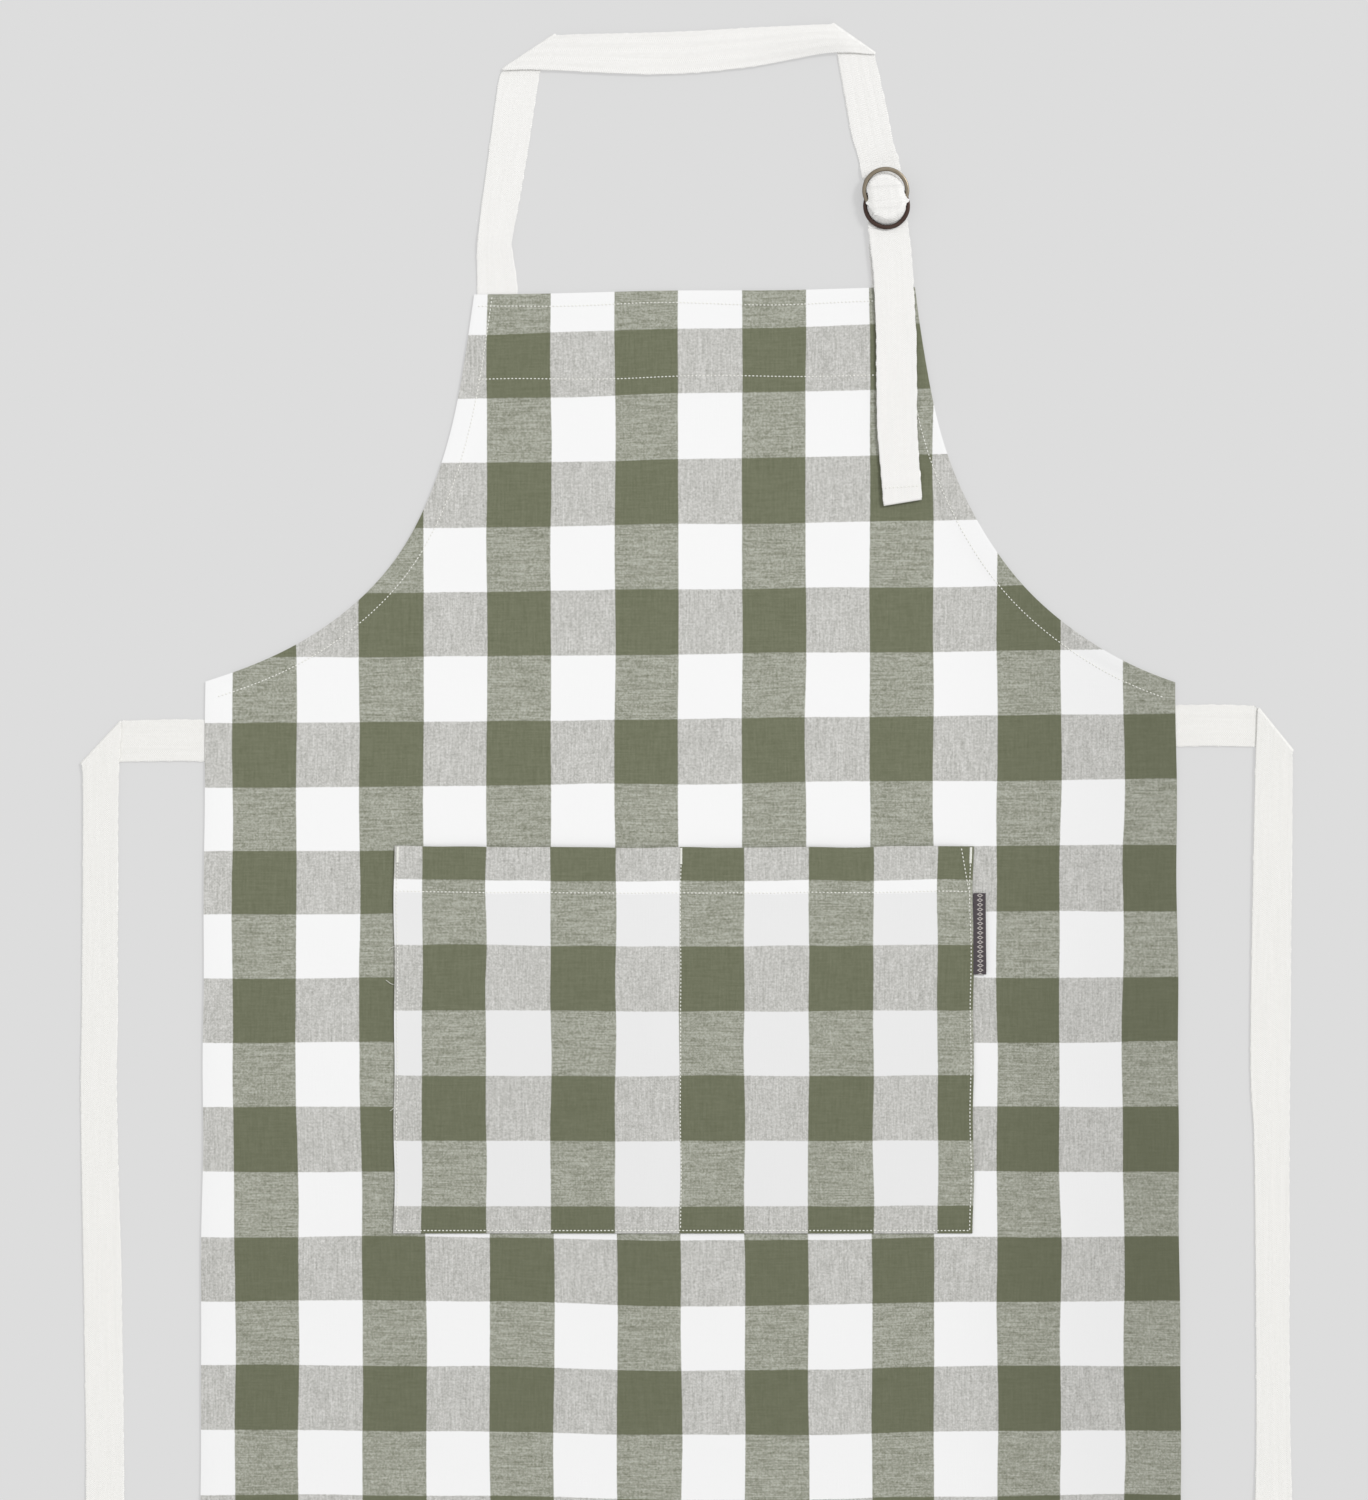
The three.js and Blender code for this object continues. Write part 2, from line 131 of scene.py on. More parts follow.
def waves(x, y, seed, length, count=6):
    """Gentle ripples between about -1 and 1, from sine waves of roughly the given length."""
    random = np.random.default_rng(seed)
    total = np.zeros(np.broadcast(x, y).shape)
    for _ in range(count):
        angle = random.uniform(0, math.tau)
        scale = math.tau / (length * random.uniform(0.7, 1.6))
        phase = random.uniform(0, math.tau)
        total = total + np.sin(scale * (np.cos(angle) * x + np.sin(angle) * y) + phase)
    return total / math.sqrt(count)


def run_along(line):
    """How far along a line of points each of them is."""
    return np.concatenate([[0], np.cumsum(np.linalg.norm(np.diff(line, axis=0), axis=1))])


def placed(name, data):
    """An object with this data, added to the scene."""
    piece = bpy.data.objects.new(name, data)
    bpy.context.scene.collection.objects.link(piece)
    return piece


def new_object(name, vertices, faces, material, flat=None, smooth_angle=50):
    """A mesh object with smooth shading. flat holds three numbers per point for its material."""
    mesh = bpy.data.meshes.new(name)
    mesh.from_pydata(np.asarray(vertices, float).tolist(), [], [list(map(int, face)) for face in faces])
    if flat is not None:
        attribute = mesh.attributes.new("flat", "FLOAT_VECTOR", "POINT")
        attribute.data.foreach_set("vector", np.asarray(flat, np.float32).ravel())
    mesh.polygons.foreach_set("use_smooth", [True] * len(mesh.polygons))
    mesh.set_sharp_from_angle(angle=math.radians(smooth_angle))
    mesh.materials.append(material)
    return placed(name, mesh)


def grid_faces(rows, columns, start=0, flip=False):
    """The four-cornered faces of a grid of points."""
    index = start + np.arange(rows * columns).reshape(rows, columns)
    corners = [index[:-1, :-1], index[:-1, 1:], index[1:, 1:], index[1:, :-1]]
    quads = np.stack(corners, axis=-1).reshape(-1, 4)
    return quads[:, ::-1] if flip else quads


def grid_normals(grid):
    normal = np.cross(np.gradient(grid, axis=1), np.gradient(grid, axis=0))
    return normal / np.maximum(np.linalg.norm(normal, axis=-1, keepdims=True), 1e-9)


def strayed(x, y, height, stray):
    """Points of a cloth at their heights, moved in plan by how far it strays there."""
    shift_x, shift_y = stray(x, y)
    return np.stack([x + shift_x, y + shift_y, height], axis=-1)


def cloth_piece(name, grid, flat, thickness, material, edge=0.35):
    """A closed sheet: a grid of middle points given a thickness, thinner at its rounded outline.

    grid is rows x columns x 3 in millimetres; flat is rows x columns x 2, where each point was on
    the uncut cloth."""
    rows, columns = grid.shape[:2]
    swell = np.ones((rows, columns))
    swell[[0, -1], :] = edge
    swell[:, [0, -1]] = edge
    step = grid_normals(grid) * (swell * thickness / 2)[..., None]
    top = (grid + step).reshape(-1, 3)
    under = (grid - step).reshape(-1, 3)
    count = rows * columns
    index = np.arange(count).reshape(rows, columns)
    loop = np.concatenate([index[0, :-1], index[:-1, -1], index[-1, :0:-1], index[:0:-1, 0]])
    after = np.roll(loop, -1)
    rim = np.stack([loop, loop + count, after + count, after], axis=-1)
    faces = np.concatenate([grid_faces(rows, columns), grid_faces(rows, columns, count, flip=True), rim])
    side = np.concatenate([np.ones(count), -np.ones(count)])
    coordinates = np.column_stack([np.tile(flat.reshape(-1, 2), (2, 1)), side])
    piece = new_object(name, to_frame(np.concatenate([top, under])), faces, material, coordinates)
    return outward(piece)


def outward(piece):
    """Turns the faces outwards if the closed mesh is inside out."""
    mesh = piece.data
    points = np.array([vertex.co for vertex in mesh.vertices])
    corners = points[[polygon.vertices[0] for polygon in mesh.polygons]]
    normals = np.array([polygon.normal for polygon in mesh.polygons])
    areas = np.array([polygon.area for polygon in mesh.polygons])
    if float(((corners - points.mean(0)) * normals).sum(1) @ areas) < 0:
        mesh.flip_normals()
    return piece


def belongs(piece, body, node, slot):
    """The piece rides on a body and stands for a CAD node (if any); slot is not used."""
    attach(piece, body)
    if node:
        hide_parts(node)


# ---- Camera, light and floor ----
VIEW_HEIGHT = 1125.0  # millimetres seen from the top of the picture to its foot
VIEW_MIDDLE = np.array([-4.9, -342.8, 0.0])
LENS = 100.0
SENSOR = 36.0
SKY_STRENGTH = 0.80
SUN_STRENGTH = 1.48
SUN_WIDTH = math.radians(14)
SUN_WAY = (-0.62, -0.42, -0.8)
FLOOR_SIZE = 60.0  # metres from its middle to each side
FLOOR_GLOW = 0.6  # part of the floor's light that is its own, so shadows on it stay faint


def camera():
    data = bpy.data.cameras.new("camera")
    data.lens = LENS
    data.sensor_width = SENSOR
    data.clip_end = 200.0
    piece = placed("camera", data)
    distance = VIEW_HEIGHT * LENS / SENSOR
    piece.location = Vector(to_frame(VIEW_MIDDLE + [0, 0, distance]))
    bpy.context.scene.camera = piece


def studio():
    scene = bpy.context.scene
    scene.view_settings.view_transform = "Standard"
    scene.view_settings.look = "None"
    world = bpy.data.worlds.new("studio")
    scene.world = world
    world.use_nodes = True
    background = world.node_tree.nodes["Background"]
    background.inputs["Color"].default_value = (1.0, 1.0, 1.0, 1.0)
    background.inputs["Strength"].default_value = SKY_STRENGTH
    sun = bpy.data.lights.new("key", "SUN")
    sun.energy = SUN_STRENGTH
    sun.angle = SUN_WIDTH
    placed("key", sun).rotation_euler = Vector(SUN_WAY).to_track_quat("-Z", "Y").to_euler()


def floor():
    """A plain floor that shows as one pale grey."""
    corners = [(x * FLOOR_SIZE, y * FLOOR_SIZE, 0) for x, y in ((-1, -1), (1, -1), (1, 1), (-1, 1))]
    paint = bpy.data.materials.new("floor")
    paint.use_nodes = True
    shader = paint.node_tree.nodes["Principled BSDF"]
    grey = linear(221, 221, 221)[0]
    shader.inputs["Base Color"].default_value = (grey * (1 - FLOOR_GLOW),) * 3 + (1.0,)
    shader.inputs["Emission Color"].default_value = (1.0, 1.0, 1.0, 1.0)
    shader.inputs["Emission Strength"].default_value = grey * LIGHT * FLOOR_GLOW
    shader.inputs["Roughness"].default_value = 1.0
    shader.inputs["Specular IOR Level"].default_value = 0.0
    new_object("floor", corners, [(0, 1, 2, 3)], paint)


# ---- Materials ----
class Nodes:
    """Short ways to add and join shader nodes."""

    def __init__(self, name):
        self.material = bpy.data.materials.new(name)
        self.material.use_nodes = True
        self.tree = self.material.node_tree
        self.shader = self.tree.nodes["Principled BSDF"]

    def put(self, socket, value):
        """Links another node's output to the socket, or sets the socket to a plain value."""
        if isinstance(value, bpy.types.NodeSocket):
            self.tree.links.new(value, socket)
        else:
            socket.default_value = value

    def new(self, kind):
        return self.tree.nodes.new(f"ShaderNode{kind}")

    def split(self, vector):
        """The three numbers of a vector."""
        node = self.new("SeparateXYZ")
        self.put(node.inputs[0], vector)
        return node.outputs

    def math(self, operation, *values, clamp=False):
        node = self.new("Math")
        node.operation = operation
        node.use_clamp = clamp
        for socket, value in zip(node.inputs, values):
            self.put(socket, value)
        return node.outputs[0]

    def mix(self, share, first, second):
        """The first colour where share is 0 and the second where it is 1."""
        node = self.new("Mix")
        node.data_type = "RGBA"
        self.put(node.inputs[0], share)
        self.put(node.inputs[6], first)
        self.put(node.inputs[7], second)
        return node.outputs[2]

    def flat(self):
        """The x, y and side of the flat cloth, in millimetres."""
        attribute = self.new("Attribute")
        attribute.attribute_name = "flat"
        return self.split(attribute.outputs["Vector"])

    def noise(self, x, y, finer_x, finer_y, seed=0.0, detail=2.0):
        """Noise about 0.5, with its own scale each way."""
        node = self.new("TexNoise")
        node.inputs["Scale"].default_value = 1.0
        node.inputs["Detail"].default_value = detail
        place = self.new("CombineXYZ")
        for socket, value in zip(place.inputs, (self.scaled(x, finer_x), self.scaled(y, finer_y), seed)):
            self.put(socket, value)
        self.put(node.inputs["Vector"], place.outputs[0])
        return node.outputs[0]

    def ramp(self, value, start, end):
        """0 at start and 1 at end, eased at both."""
        node = self.new("MapRange")
        node.interpolation_type = "SMOOTHSTEP"
        self.put(node.inputs["Value"], value)
        node.inputs["From Min"].default_value = start
        node.inputs["From Max"].default_value = end
        return node.outputs[0]

    def tint(self, colour, tone):
        """The colour with each of its channels multiplied by a number."""
        node = self.new("VectorMath")
        node.operation = "SCALE"
        self.put(node.inputs[0], colour)
        self.put(node.inputs["Scale"], tone)
        return node.outputs[0]

    def scaled(self, value, factor, shift=0.0):
        """value * factor + shift"""
        return self.math("MULTIPLY_ADD", value, factor, shift)

    def add(self, first, second):
        return self.math("ADD", first, second)

    def clamped(self, value):
        """The value kept between 0 and 1."""
        return self.math("ADD", value, 0.0, clamp=True)

    def total(self, start, *parts):
        """start, plus each part's value times its share."""
        for value, share in parts:
            start = self.add(start, self.scaled(value, share))
        return start

    def wave(self, value, length):
        """A sine wave of the given length."""
        return self.math("SINE", self.scaled(value, math.tau / length))

    def bump(self, height, strength, distance):
        node = self.new("Bump")
        node.inputs["Strength"].default_value = strength
        node.inputs["Distance"].default_value = distance * MM
        self.put(node.inputs["Height"], height)
        self.tree.links.new(node.outputs[0], self.shader.inputs["Normal"])

    def finish(self, colour, roughness, specular=0.25, metallic=0.0, sheen=0.0):
        self.put(self.shader.inputs["Base Color"], colour)
        self.put(self.shader.inputs["Roughness"], roughness)
        self.shader.inputs["Specular IOR Level"].default_value = specular
        self.shader.inputs["Metallic"].default_value = metallic
        self.shader.inputs["Sheen Weight"].default_value = sheen
        return self.material


YARN = 0.62  # width of one yarn, in millimetres
STRIPE_EDGE = 0.6  # how far a stripe's edge is spread
SELVEDGE_PITCH = 1.9  # spacing of the weft's turns along a tape's edge


def stripes(nodes, along, pitch, middle, ragged):
    """1 on the dark stripes of one direction and 0 between them, with yarn-wide ragged edges."""
    turns = nodes.math("DIVIDE", nodes.math("SUBTRACT", nodes.add(along, ragged), middle), pitch)
    away = nodes.math("ABSOLUTE", nodes.math("SUBTRACT", turns, nodes.math("ROUND", turns)))
    steepness = pitch / STRIPE_EDGE
    return nodes.clamped(nodes.scaled(away, -steepness, 0.25 * steepness + 0.5))


def dark_yarns(nodes, x, y, checks):
    """Where the dark columns and the dark rows of a check are."""
    found = []
    for along, pitch, middle, seed in zip((x, y), checks["pitch"], checks["middle"], (3.1, 8.4)):
        drift = nodes.scaled(nodes.noise(x, y, 0.011, 0.010, seed), 2.4, -1.2)
        ragged = nodes.scaled(nodes.noise(x, y, 1.1, 1.1, seed + 2), 1.2, -0.6)
        found.append(stripes(nodes, nodes.add(along, drift), pitch, middle, ragged))
    return found


def gingham(name, checks, white, mouth=None):
    """Checked plain weave. Dark warp runs along y and dark weft along x; where only one is dark, the
    other's white yarns show between, and slubs make streaks along the yarns."""
    nodes = Nodes(name)
    x, y, _ = nodes.flat()
    column, row = dark_yarns(nodes, x, y, checks)
    grain = nodes.noise(x, y, 0.8, 0.8, 4.6, detail=3.0)
    warp_slub = nodes.noise(x, y, 0.95, 0.06, 1.7, detail=3.0)
    weft_slub = nodes.noise(x, y, 0.06, 0.95, 6.3, detail=3.0)
    over = nodes.math("MULTIPLY", nodes.wave(x, 2 * YARN), nodes.wave(y, 2 * YARN))

    def show(middle, warp_part, weft_part, grain_part):
        """Share of one colour in a mixture, streaked along the yarns."""
        start = nodes.scaled(over, 0.22, middle - (warp_part + weft_part + grain_part) / 2)
        streaks = (warp_slub, warp_part), (weft_slub, weft_part), (grain, grain_part)
        return nodes.clamped(nodes.total(start, *streaks))

    # Painted shade: light falls off towards the right edge and the foot, so the cloth is darkened there and
    # its green dulled.
    right = nodes.ramp(x, 170, 330)
    foot = nodes.ramp(y, -300, -800)
    painted_falloff = nodes.clamped(nodes.total(0.0, (right, 0.5), (foot, 0.5)))
    green = nodes.mix(show(0.5, 0.55, 0.55, 0.5), linear(93, 97, 73), linear(131, 134, 112))
    green = nodes.mix(nodes.scaled(painted_falloff, 0.5), green, linear(94, 97, 76))
    on_column = nodes.mix(show(0.385, 0.25, 0.72, 1.0), linear(106, 109, 88), linear(216, 217, 207))
    on_row = nodes.mix(show(0.56, 0.68, 0.25, 1.1), linear(138, 138, 130), linear(230, 229, 226))
    if mouth:
        seam = POCKET_HIGH[1] - POCKET_HEM
        white = nodes.mix(nodes.ramp(y, seam - 0.3, seam + 0.3), white, mouth)
    colour = nodes.mix(column, nodes.mix(row, white, on_row), nodes.mix(row, on_column, green))
    # Painted shade: the same falloff darkens the colour towards the right edge and the foot.
    tone = nodes.total(1.0, (right, -0.075), (foot, -0.04))
    height = nodes.add(nodes.math("ABSOLUTE", over), nodes.add(warp_slub, weft_slub))
    nodes.bump(height, 0.35, 0.12)
    return nodes.finish(nodes.tint(colour, tone), 0.92, specular=0.2, sheen=0.15)


def cotton_tape(name, dark, light):
    """Off-white herringbone tape with corded selvedges; flat x runs across it and y along it."""
    nodes = Nodes(name)
    x, y, _ = nodes.flat()
    chevron = nodes.math("PINGPONG", nodes.scaled(x, 1.0, TAPE_WIDTH / 2), TAPE_WIDTH / 8)
    twill = nodes.wave(nodes.add(chevron, y), 1.6)
    yarns = nodes.wave(x, 0.75)
    rough = nodes.noise(x, y, 0.7, 0.7, 4.4, detail=4.0)
    streak = nodes.noise(x, y, 0.55, 0.02, 7.9, detail=3.0)
    selvedge = nodes.ramp(nodes.math("ABSOLUTE", x), 13.6, 14.6)
    picks = nodes.math("MULTIPLY", selvedge, nodes.wave(y, SELVEDGE_PITCH))
    shade = nodes.total(nodes.scaled(twill, 0.14, -0.18), (rough, 0.8), (streak, 0.55), (picks, 0.45))
    nodes.bump(nodes.total(rough, (twill, 0.6), (yarns, 0.25)), 0.6, 0.2)
    return nodes.finish(nodes.mix(nodes.clamped(shade), dark, light), 0.9, specular=0.2, sheen=0.12)


def cotton_thread():
    """Off-white twisted sewing thread."""
    nodes = Nodes("cotton_thread")
    x, y, _ = nodes.split(nodes.new("TexCoord").outputs["Object"])
    twist = nodes.wave(nodes.add(x, y), 0.35 * MM)
    fuzz = nodes.noise(x, y, 900.0, 900.0)
    colour = nodes.mix(fuzz, linear(238, 238, 229), linear(253, 253, 248))
    nodes.bump(twist, 0.3, 0.05)
    return nodes.finish(colour, 0.8)


def ring_metal(name, dark, light):
    """Antique plated ring: brushed round its band, paler where it rubs, with painted shade on its rounded
    edges.
    """
    nodes = Nodes(name)
    around, across, over = nodes.flat()
    brushed = nodes.noise(around, across, 0.25, 3.0, 1.3, detail=4.0)
    rubbed = nodes.noise(around, across, 0.12, 0.5, 6.6, detail=3.0)
    wear = nodes.clamped(nodes.total(0.0, (brushed, 0.5), (rubbed, 0.5)))
    # Painted shade: the band's rounded inner and outer rims are darkened where light falls away from them.
    edge = nodes.ramp(nodes.math("ABSOLUTE", over), 0.7, 1.0)
    colour = nodes.mix(nodes.scaled(edge, 0.75), nodes.mix(wear, dark, light), linear(44, 33, 29))
    nodes.bump(brushed, 0.15, 0.03)
    return nodes.finish(colour, nodes.scaled(rubbed, 0.25, 0.24), specular=0.5, metallic=1.0)


def label_cloth():
    """Dark woven label: fine weft ribs and a plain row of lozenges."""
    nodes = Nodes("woven_label")
    x, y, _ = nodes.flat()
    spacing = 3.5
    step = nodes.math("ABSOLUTE", nodes.scaled(nodes.math("PINGPONG", y, spacing), 1.0, -spacing / 2))
    lozenge = nodes.total(step, (nodes.math("ABSOLUTE", x), 0.62))
    inside = nodes.math("LESS_THAN", lozenge, 1.5)
    hollow = nodes.math("GREATER_THAN", lozenge, 0.8)
    ribs = nodes.wave(y, 0.5)
    cloth = nodes.mix(nodes.scaled(ribs, 0.5, 0.5), linear(64, 58, 62), linear(90, 83, 87))
    colour = nodes.mix(nodes.math("MULTIPLY", inside, hollow), cloth, linear(190, 184, 180))
    nodes.bump(ribs, 0.4, 0.08)
    return nodes.finish(colour, 0.75, sheen=0.1)


# ---- The panel ----
def armhole(share, side):
    """The armhole's edge from the bib's corner (share 0) to the waist (1); side 1 is the right one."""
    flare = HALF_WAIST - HALF_BIB
    out = (0.0, 0.08, 0.265, 1.0)
    down = (0.0, 0.5, 0.837, 1.0)
    s = np.asarray(share, float)
    weights = ((1 - s) ** 3, 3 * s * (1 - s) ** 2, 3 * s * s * (1 - s), s ** 3)
    x = sum(weight * (HALF_BIB + flare * place + side * lean)
            for weight, place, lean in zip(weights, out, ARMHOLE_LEAN))
    y = sum(weight * -ARMHOLE_DROP * place for weight, place in zip(weights, down))
    return np.stack([side * x, y], axis=-1)


ARMHOLES = {side: armhole(np.linspace(0, 1, 400), side) for side in SIDES.values()}


def edge_x(y, side):
    """Where the apron's edge is at a height y; side 1 is the right edge."""
    y = np.asarray(y, float)
    upper = np.interp(-y, -ARMHOLES[side][:, 1], ARMHOLES[side][:, 0])
    share = (-y - ARMHOLE_DROP) / (LENGTH - ARMHOLE_DROP)
    return np.where(share < 0, upper, side * (HALF_WAIST + (HALF_SKIRT - HALF_WAIST) * share))


def panel_height(x, y):
    """Height of the middle of the panel's cloth: it lies on its hems and dips a little between."""
    edge = np.minimum(edge_x(y, 1) - x, x - edge_x(y, -1))
    hem = 1 - smooth(edge, 9, 26)
    hem = np.maximum(hem, 1 - smooth(-y, FACING_DEPTH - 4, FACING_DEPTH + 12))
    hem = np.maximum(hem, 1 - smooth(LENGTH + y, 24, 38))
    ripple = 0.16 * waves(x, y, 11, 210) + 0.07 * waves(x, y, 12, 60)
    pucker = 0.12 * np.sin(x / 5.3) * np.exp(-((y + FACING_STITCHES[1]) / 5.0) ** 2)
    return PANEL_Z - 0.45 * (1 - hem) + ripple * (0.4 + 0.6 * (1 - hem)) + pucker


def wander(x, y):
    """How far the cloth strays in its own plane; the bib's top rises towards the right."""
    slant = (1.2 + 2.3 * x / HALF_BIB) * (1 - smooth(-np.asarray(y, float), 40, 260))
    return 0.4 * waves(x, y, 21, 130), 0.4 * waves(x, y, 22, 150) + slant


def out_of_square(x, y):
    """How far the woven columns and rows lie from where true ones would."""
    bib = 1 - smooth(-y, 330, 560)
    foot = smooth(-y, 560, 760)
    left_lean = 2.2 * foot * (1 - smooth(x, 90, 230))
    right_lean = 1.4 * smooth(x, 210, 300) * smooth(-y, 380, 440) * (1 - foot)
    tilt = 0.0105 * (x + 30) * bib
    sag = -3.9 * foot * np.exp(-((x - 22) / 150) ** 2)
    return left_lean - right_lean, tilt + sag


def panel_cloth(material):
    skirt = np.linspace(-ARMHOLE_DROP, -LENGTH, 206)[1:]
    heights = np.concatenate([armhole(np.linspace(0, 1, 116), 1)[:, 1], skirt])
    left, right = edge_x(heights, -1), edge_x(heights, 1)
    across = np.linspace(0, 1, 233)
    x = left[:, None] + (right - left)[:, None] * across[None, :]
    y = np.repeat(heights[:, None], len(across), axis=1)
    pull_x, pull_y = out_of_square(x, y)
    grid = strayed(x, y, panel_height(x, y), wander)
    piece = cloth_piece("panel_cloth", grid, np.stack([x - pull_x, y - pull_y], axis=-1), CLOTH, material)
    belongs(piece, "apron", "panel", "gingham_cloth")


# ---- Hems behind the panel ----
def folded_band(name, outer, inner, node, material):
    """A turned hem: two lines of points, outline and inner edge, with a soft rounded fold between."""
    steps = np.array([0.0, 0.01, 0.04, 0.12, 0.3, 0.55, 0.8, 0.93, 1.0])
    outer, inner = np.asarray(outer, float), np.asarray(inner, float)
    line = outer[:, None] * (1 - steps)[:, None] + inner[:, None] * steps[:, None]
    x, y = line[..., 0], line[..., 1]
    grid = strayed(x, y, TAPE_Z + 0.1 * waves(x, y, 31, 70), wander)
    piece = cloth_piece(name, grid, line, 1.15, material, edge=0.6)
    belongs(piece, "apron", node, "gingham_cloth")


def inset(line, distance):
    """The line moved to its right in its own plane."""
    line = np.asarray(line, float)
    along = np.gradient(line, axis=0)
    along /= np.linalg.norm(along, axis=1, keepdims=True)
    return line + distance * np.column_stack([along[:, 1], -along[:, 0]])


def armhole_band(name, side, material):
    curve = ARMHOLES[side]
    start = float(np.interp(FACING_DEPTH + 1, -curve[:, 1], np.linspace(0, 1, len(curve))))
    edge = armhole(np.linspace(start, 0.985, 90), side)
    inner = inset(edge, side * (ARMHOLE_HEM - 0.5))
    folded_band(f"armhole_band_{name}", edge, inner, f"armhole_hem_{name}", material)


def side_band(name, side, material):
    """The side's hem, which stops short of the edge where the tie is sewn in."""
    tie = middle_mm(f"tie_root_{name}")[1]
    heights = np.linspace(-ARMHOLE_DROP - ARMHOLE_HEM, -LENGTH + BOTTOM_HEM + 1, 180)
    edge = edge_x(heights, side)
    short = np.where(np.abs(heights - tie) < TAPE_WIDTH / 2 + 1, ROOT_ROOM, 0.0)
    outer = np.column_stack([edge - side * short, heights])
    inner = np.column_stack([edge - side * SIDE_HEM, heights])
    folded_band(f"side_band_{name}", outer, inner, f"side_hem_{name}", material)


def bottom_band(material):
    across = np.linspace(-HALF_SKIRT, HALF_SKIRT, 200)
    outer = np.column_stack([across, np.full_like(across, -LENGTH)])
    inner = np.column_stack([across, np.full_like(across, -LENGTH + BOTTOM_HEM)])
    folded_band("bottom_band", outer, inner, "bottom_hem", material)


def bib_band(material):
    """The deep band behind the bib's top, which stops short of the edge over each sewn tape."""
    across = np.linspace(-1, 1, 160)
    along_top = BIB_SHIFT + across * HALF_BIB
    top = np.zeros_like(across)
    for root in ("neck_strap_root", "anchor_root"):
        top = np.where(np.abs(along_top - middle_mm(root)[0]) < TAPE_WIDTH / 2 + 1, -ROOT_ROOM, top)
    outer = np.column_stack([along_top, top])
    inner = np.column_stack([BIB_SHIFT + across * (HALF_BIB + 8), np.full_like(across, -FACING_DEPTH)])
    folded_band("bib_band", outer, inner, "bib_facing", material)


def hems(material):
    for name, side in SIDES.items():
        armhole_band(name, side, material)
        side_band(name, side, material)
    bottom_band(material)
    bib_band(material)


# ---- The pocket ----
DIVIDER_X = middle_mm("pocket_divider_stitch")[0]


def pocket_height(x, y):
    """Middle height of the pocket's cloth: pressed down at its seams, slack between them."""
    side = np.minimum(x - POCKET_LOW[0], POCKET_HIGH[0] - x)
    seam = np.minimum(np.minimum(side, y - POCKET_LOW[1]), np.abs(x - DIVIDER_X))
    slack = smooth(seam, 0, 26)
    mouth = smooth(y, POCKET_HIGH[1] - 70, POCKET_HIGH[1])
    ripple = 0.22 * waves(x, y, 41, 120) + 0.05 * waves(x, y, 42, 45)
    pucker = 0.10 * np.sin(x / 4.1) * np.exp(-((y - POCKET_HIGH[1] + POCKET_HEM) / 4.0) ** 2)
    low = POCKET_LOW[2] + CLOTH / 2 + 0.15
    return low + slack * (0.55 + 0.55 * mouth + ripple) + pucker


def pocket_edge(x, y):
    """How far the pocket's cloth strays from a true rectangle."""
    up = smooth(y, POCKET_LOW[1], POCKET_HIGH[1])
    slope = (x - DIVIDER_X) / (POCKET_HIGH[0] - POCKET_LOW[0])
    bow = 5.2 * slope * slope - 0.9
    return 0.4 * waves(x, y, 43, 90), up * (bow + 0.35 * waves(x, y, 44, 60))


def pocket_cloth(material):
    x_line = np.linspace(POCKET_LOW[0], POCKET_HIGH[0], 190)
    y_line = np.linspace(POCKET_HIGH[1], POCKET_LOW[1], 128)
    x, y = np.meshgrid(x_line, y_line)
    grid = strayed(x, y, pocket_height(x, y), pocket_edge)
    piece = cloth_piece("pocket_cloth", grid, np.stack([x, y], axis=-1), CLOTH, material)
    belongs(piece, "apron", "pocket", "gingham_cloth")


def pocket_hem(material):
    """The mouth's turned hem, doubled behind the pocket's cloth."""
    x_line = np.linspace(POCKET_LOW[0] + 1.5, POCKET_HIGH[0] - 1.5, 160)
    y_line = POCKET_HIGH[1] - np.array([0.6, 1.2, 3, 8, 16, 24, 31, 34, POCKET_HEM])
    x, y = np.meshgrid(x_line, y_line)
    grid = strayed(x, y, pocket_height(x, y) - CLOTH, pocket_edge)
    piece = cloth_piece("pocket_mouth_hem", grid, np.stack([x, y], axis=-1), CLOTH * 0.9, material, edge=0.6)
    belongs(piece, "apron", None, "gingham_cloth")


# ---- Stitching ----
STITCH_PITCH = 2.8
STITCH_LENGTH = 1.75
THREAD_RADIUS = 0.4


def stitch_shape(sides=6, rings=7):
    """One stitch along +X, centred: a short arched thread with round ends. Unit length and radius."""
    along = np.linspace(-1, 1, rings)
    girth = np.sqrt(np.clip(1 - along ** 6, 0, 1)) * 0.9 + 0.1
    lift = 0.5 - 1.1 * along ** 2
    angle = np.arange(sides) * math.tau / sides
    ring = np.stack([np.cos(angle), np.sin(angle)], axis=-1)
    points = np.array([[a / 2, g * c, g * s + h] for a, g, h in zip(along, girth, lift) for c, s in ring])
    faces = []
    for i in range(rings - 1):
        for j in range(sides):
            k = (j + 1) % sides
            faces.append((i * sides + j, i * sides + k, (i + 1) * sides + k, (i + 1) * sides + j))
    faces.append(tuple(range(sides))[::-1])
    faces.append(tuple(range((rings - 1) * sides, rings * sides)))
    return points, faces


SHAPE_POINTS, SHAPE_FACES = stitch_shape()


def walk(line, pitch):
    """Evenly spaced places along a line, with the way it runs at each."""
    line = np.asarray(line, float)
    length = run_along(line)
    count = max(1, int(length[-1] / pitch))
    at = (np.arange(count) + 0.5) * length[-1] / count

    def place(where):
        return np.column_stack([np.interp(where, length, line[:, i]) for i in range(2)])

    way = place(at + 0.5) - place(at - 0.5)
    return place(at), way / np.linalg.norm(way, axis=1, keepdims=True)


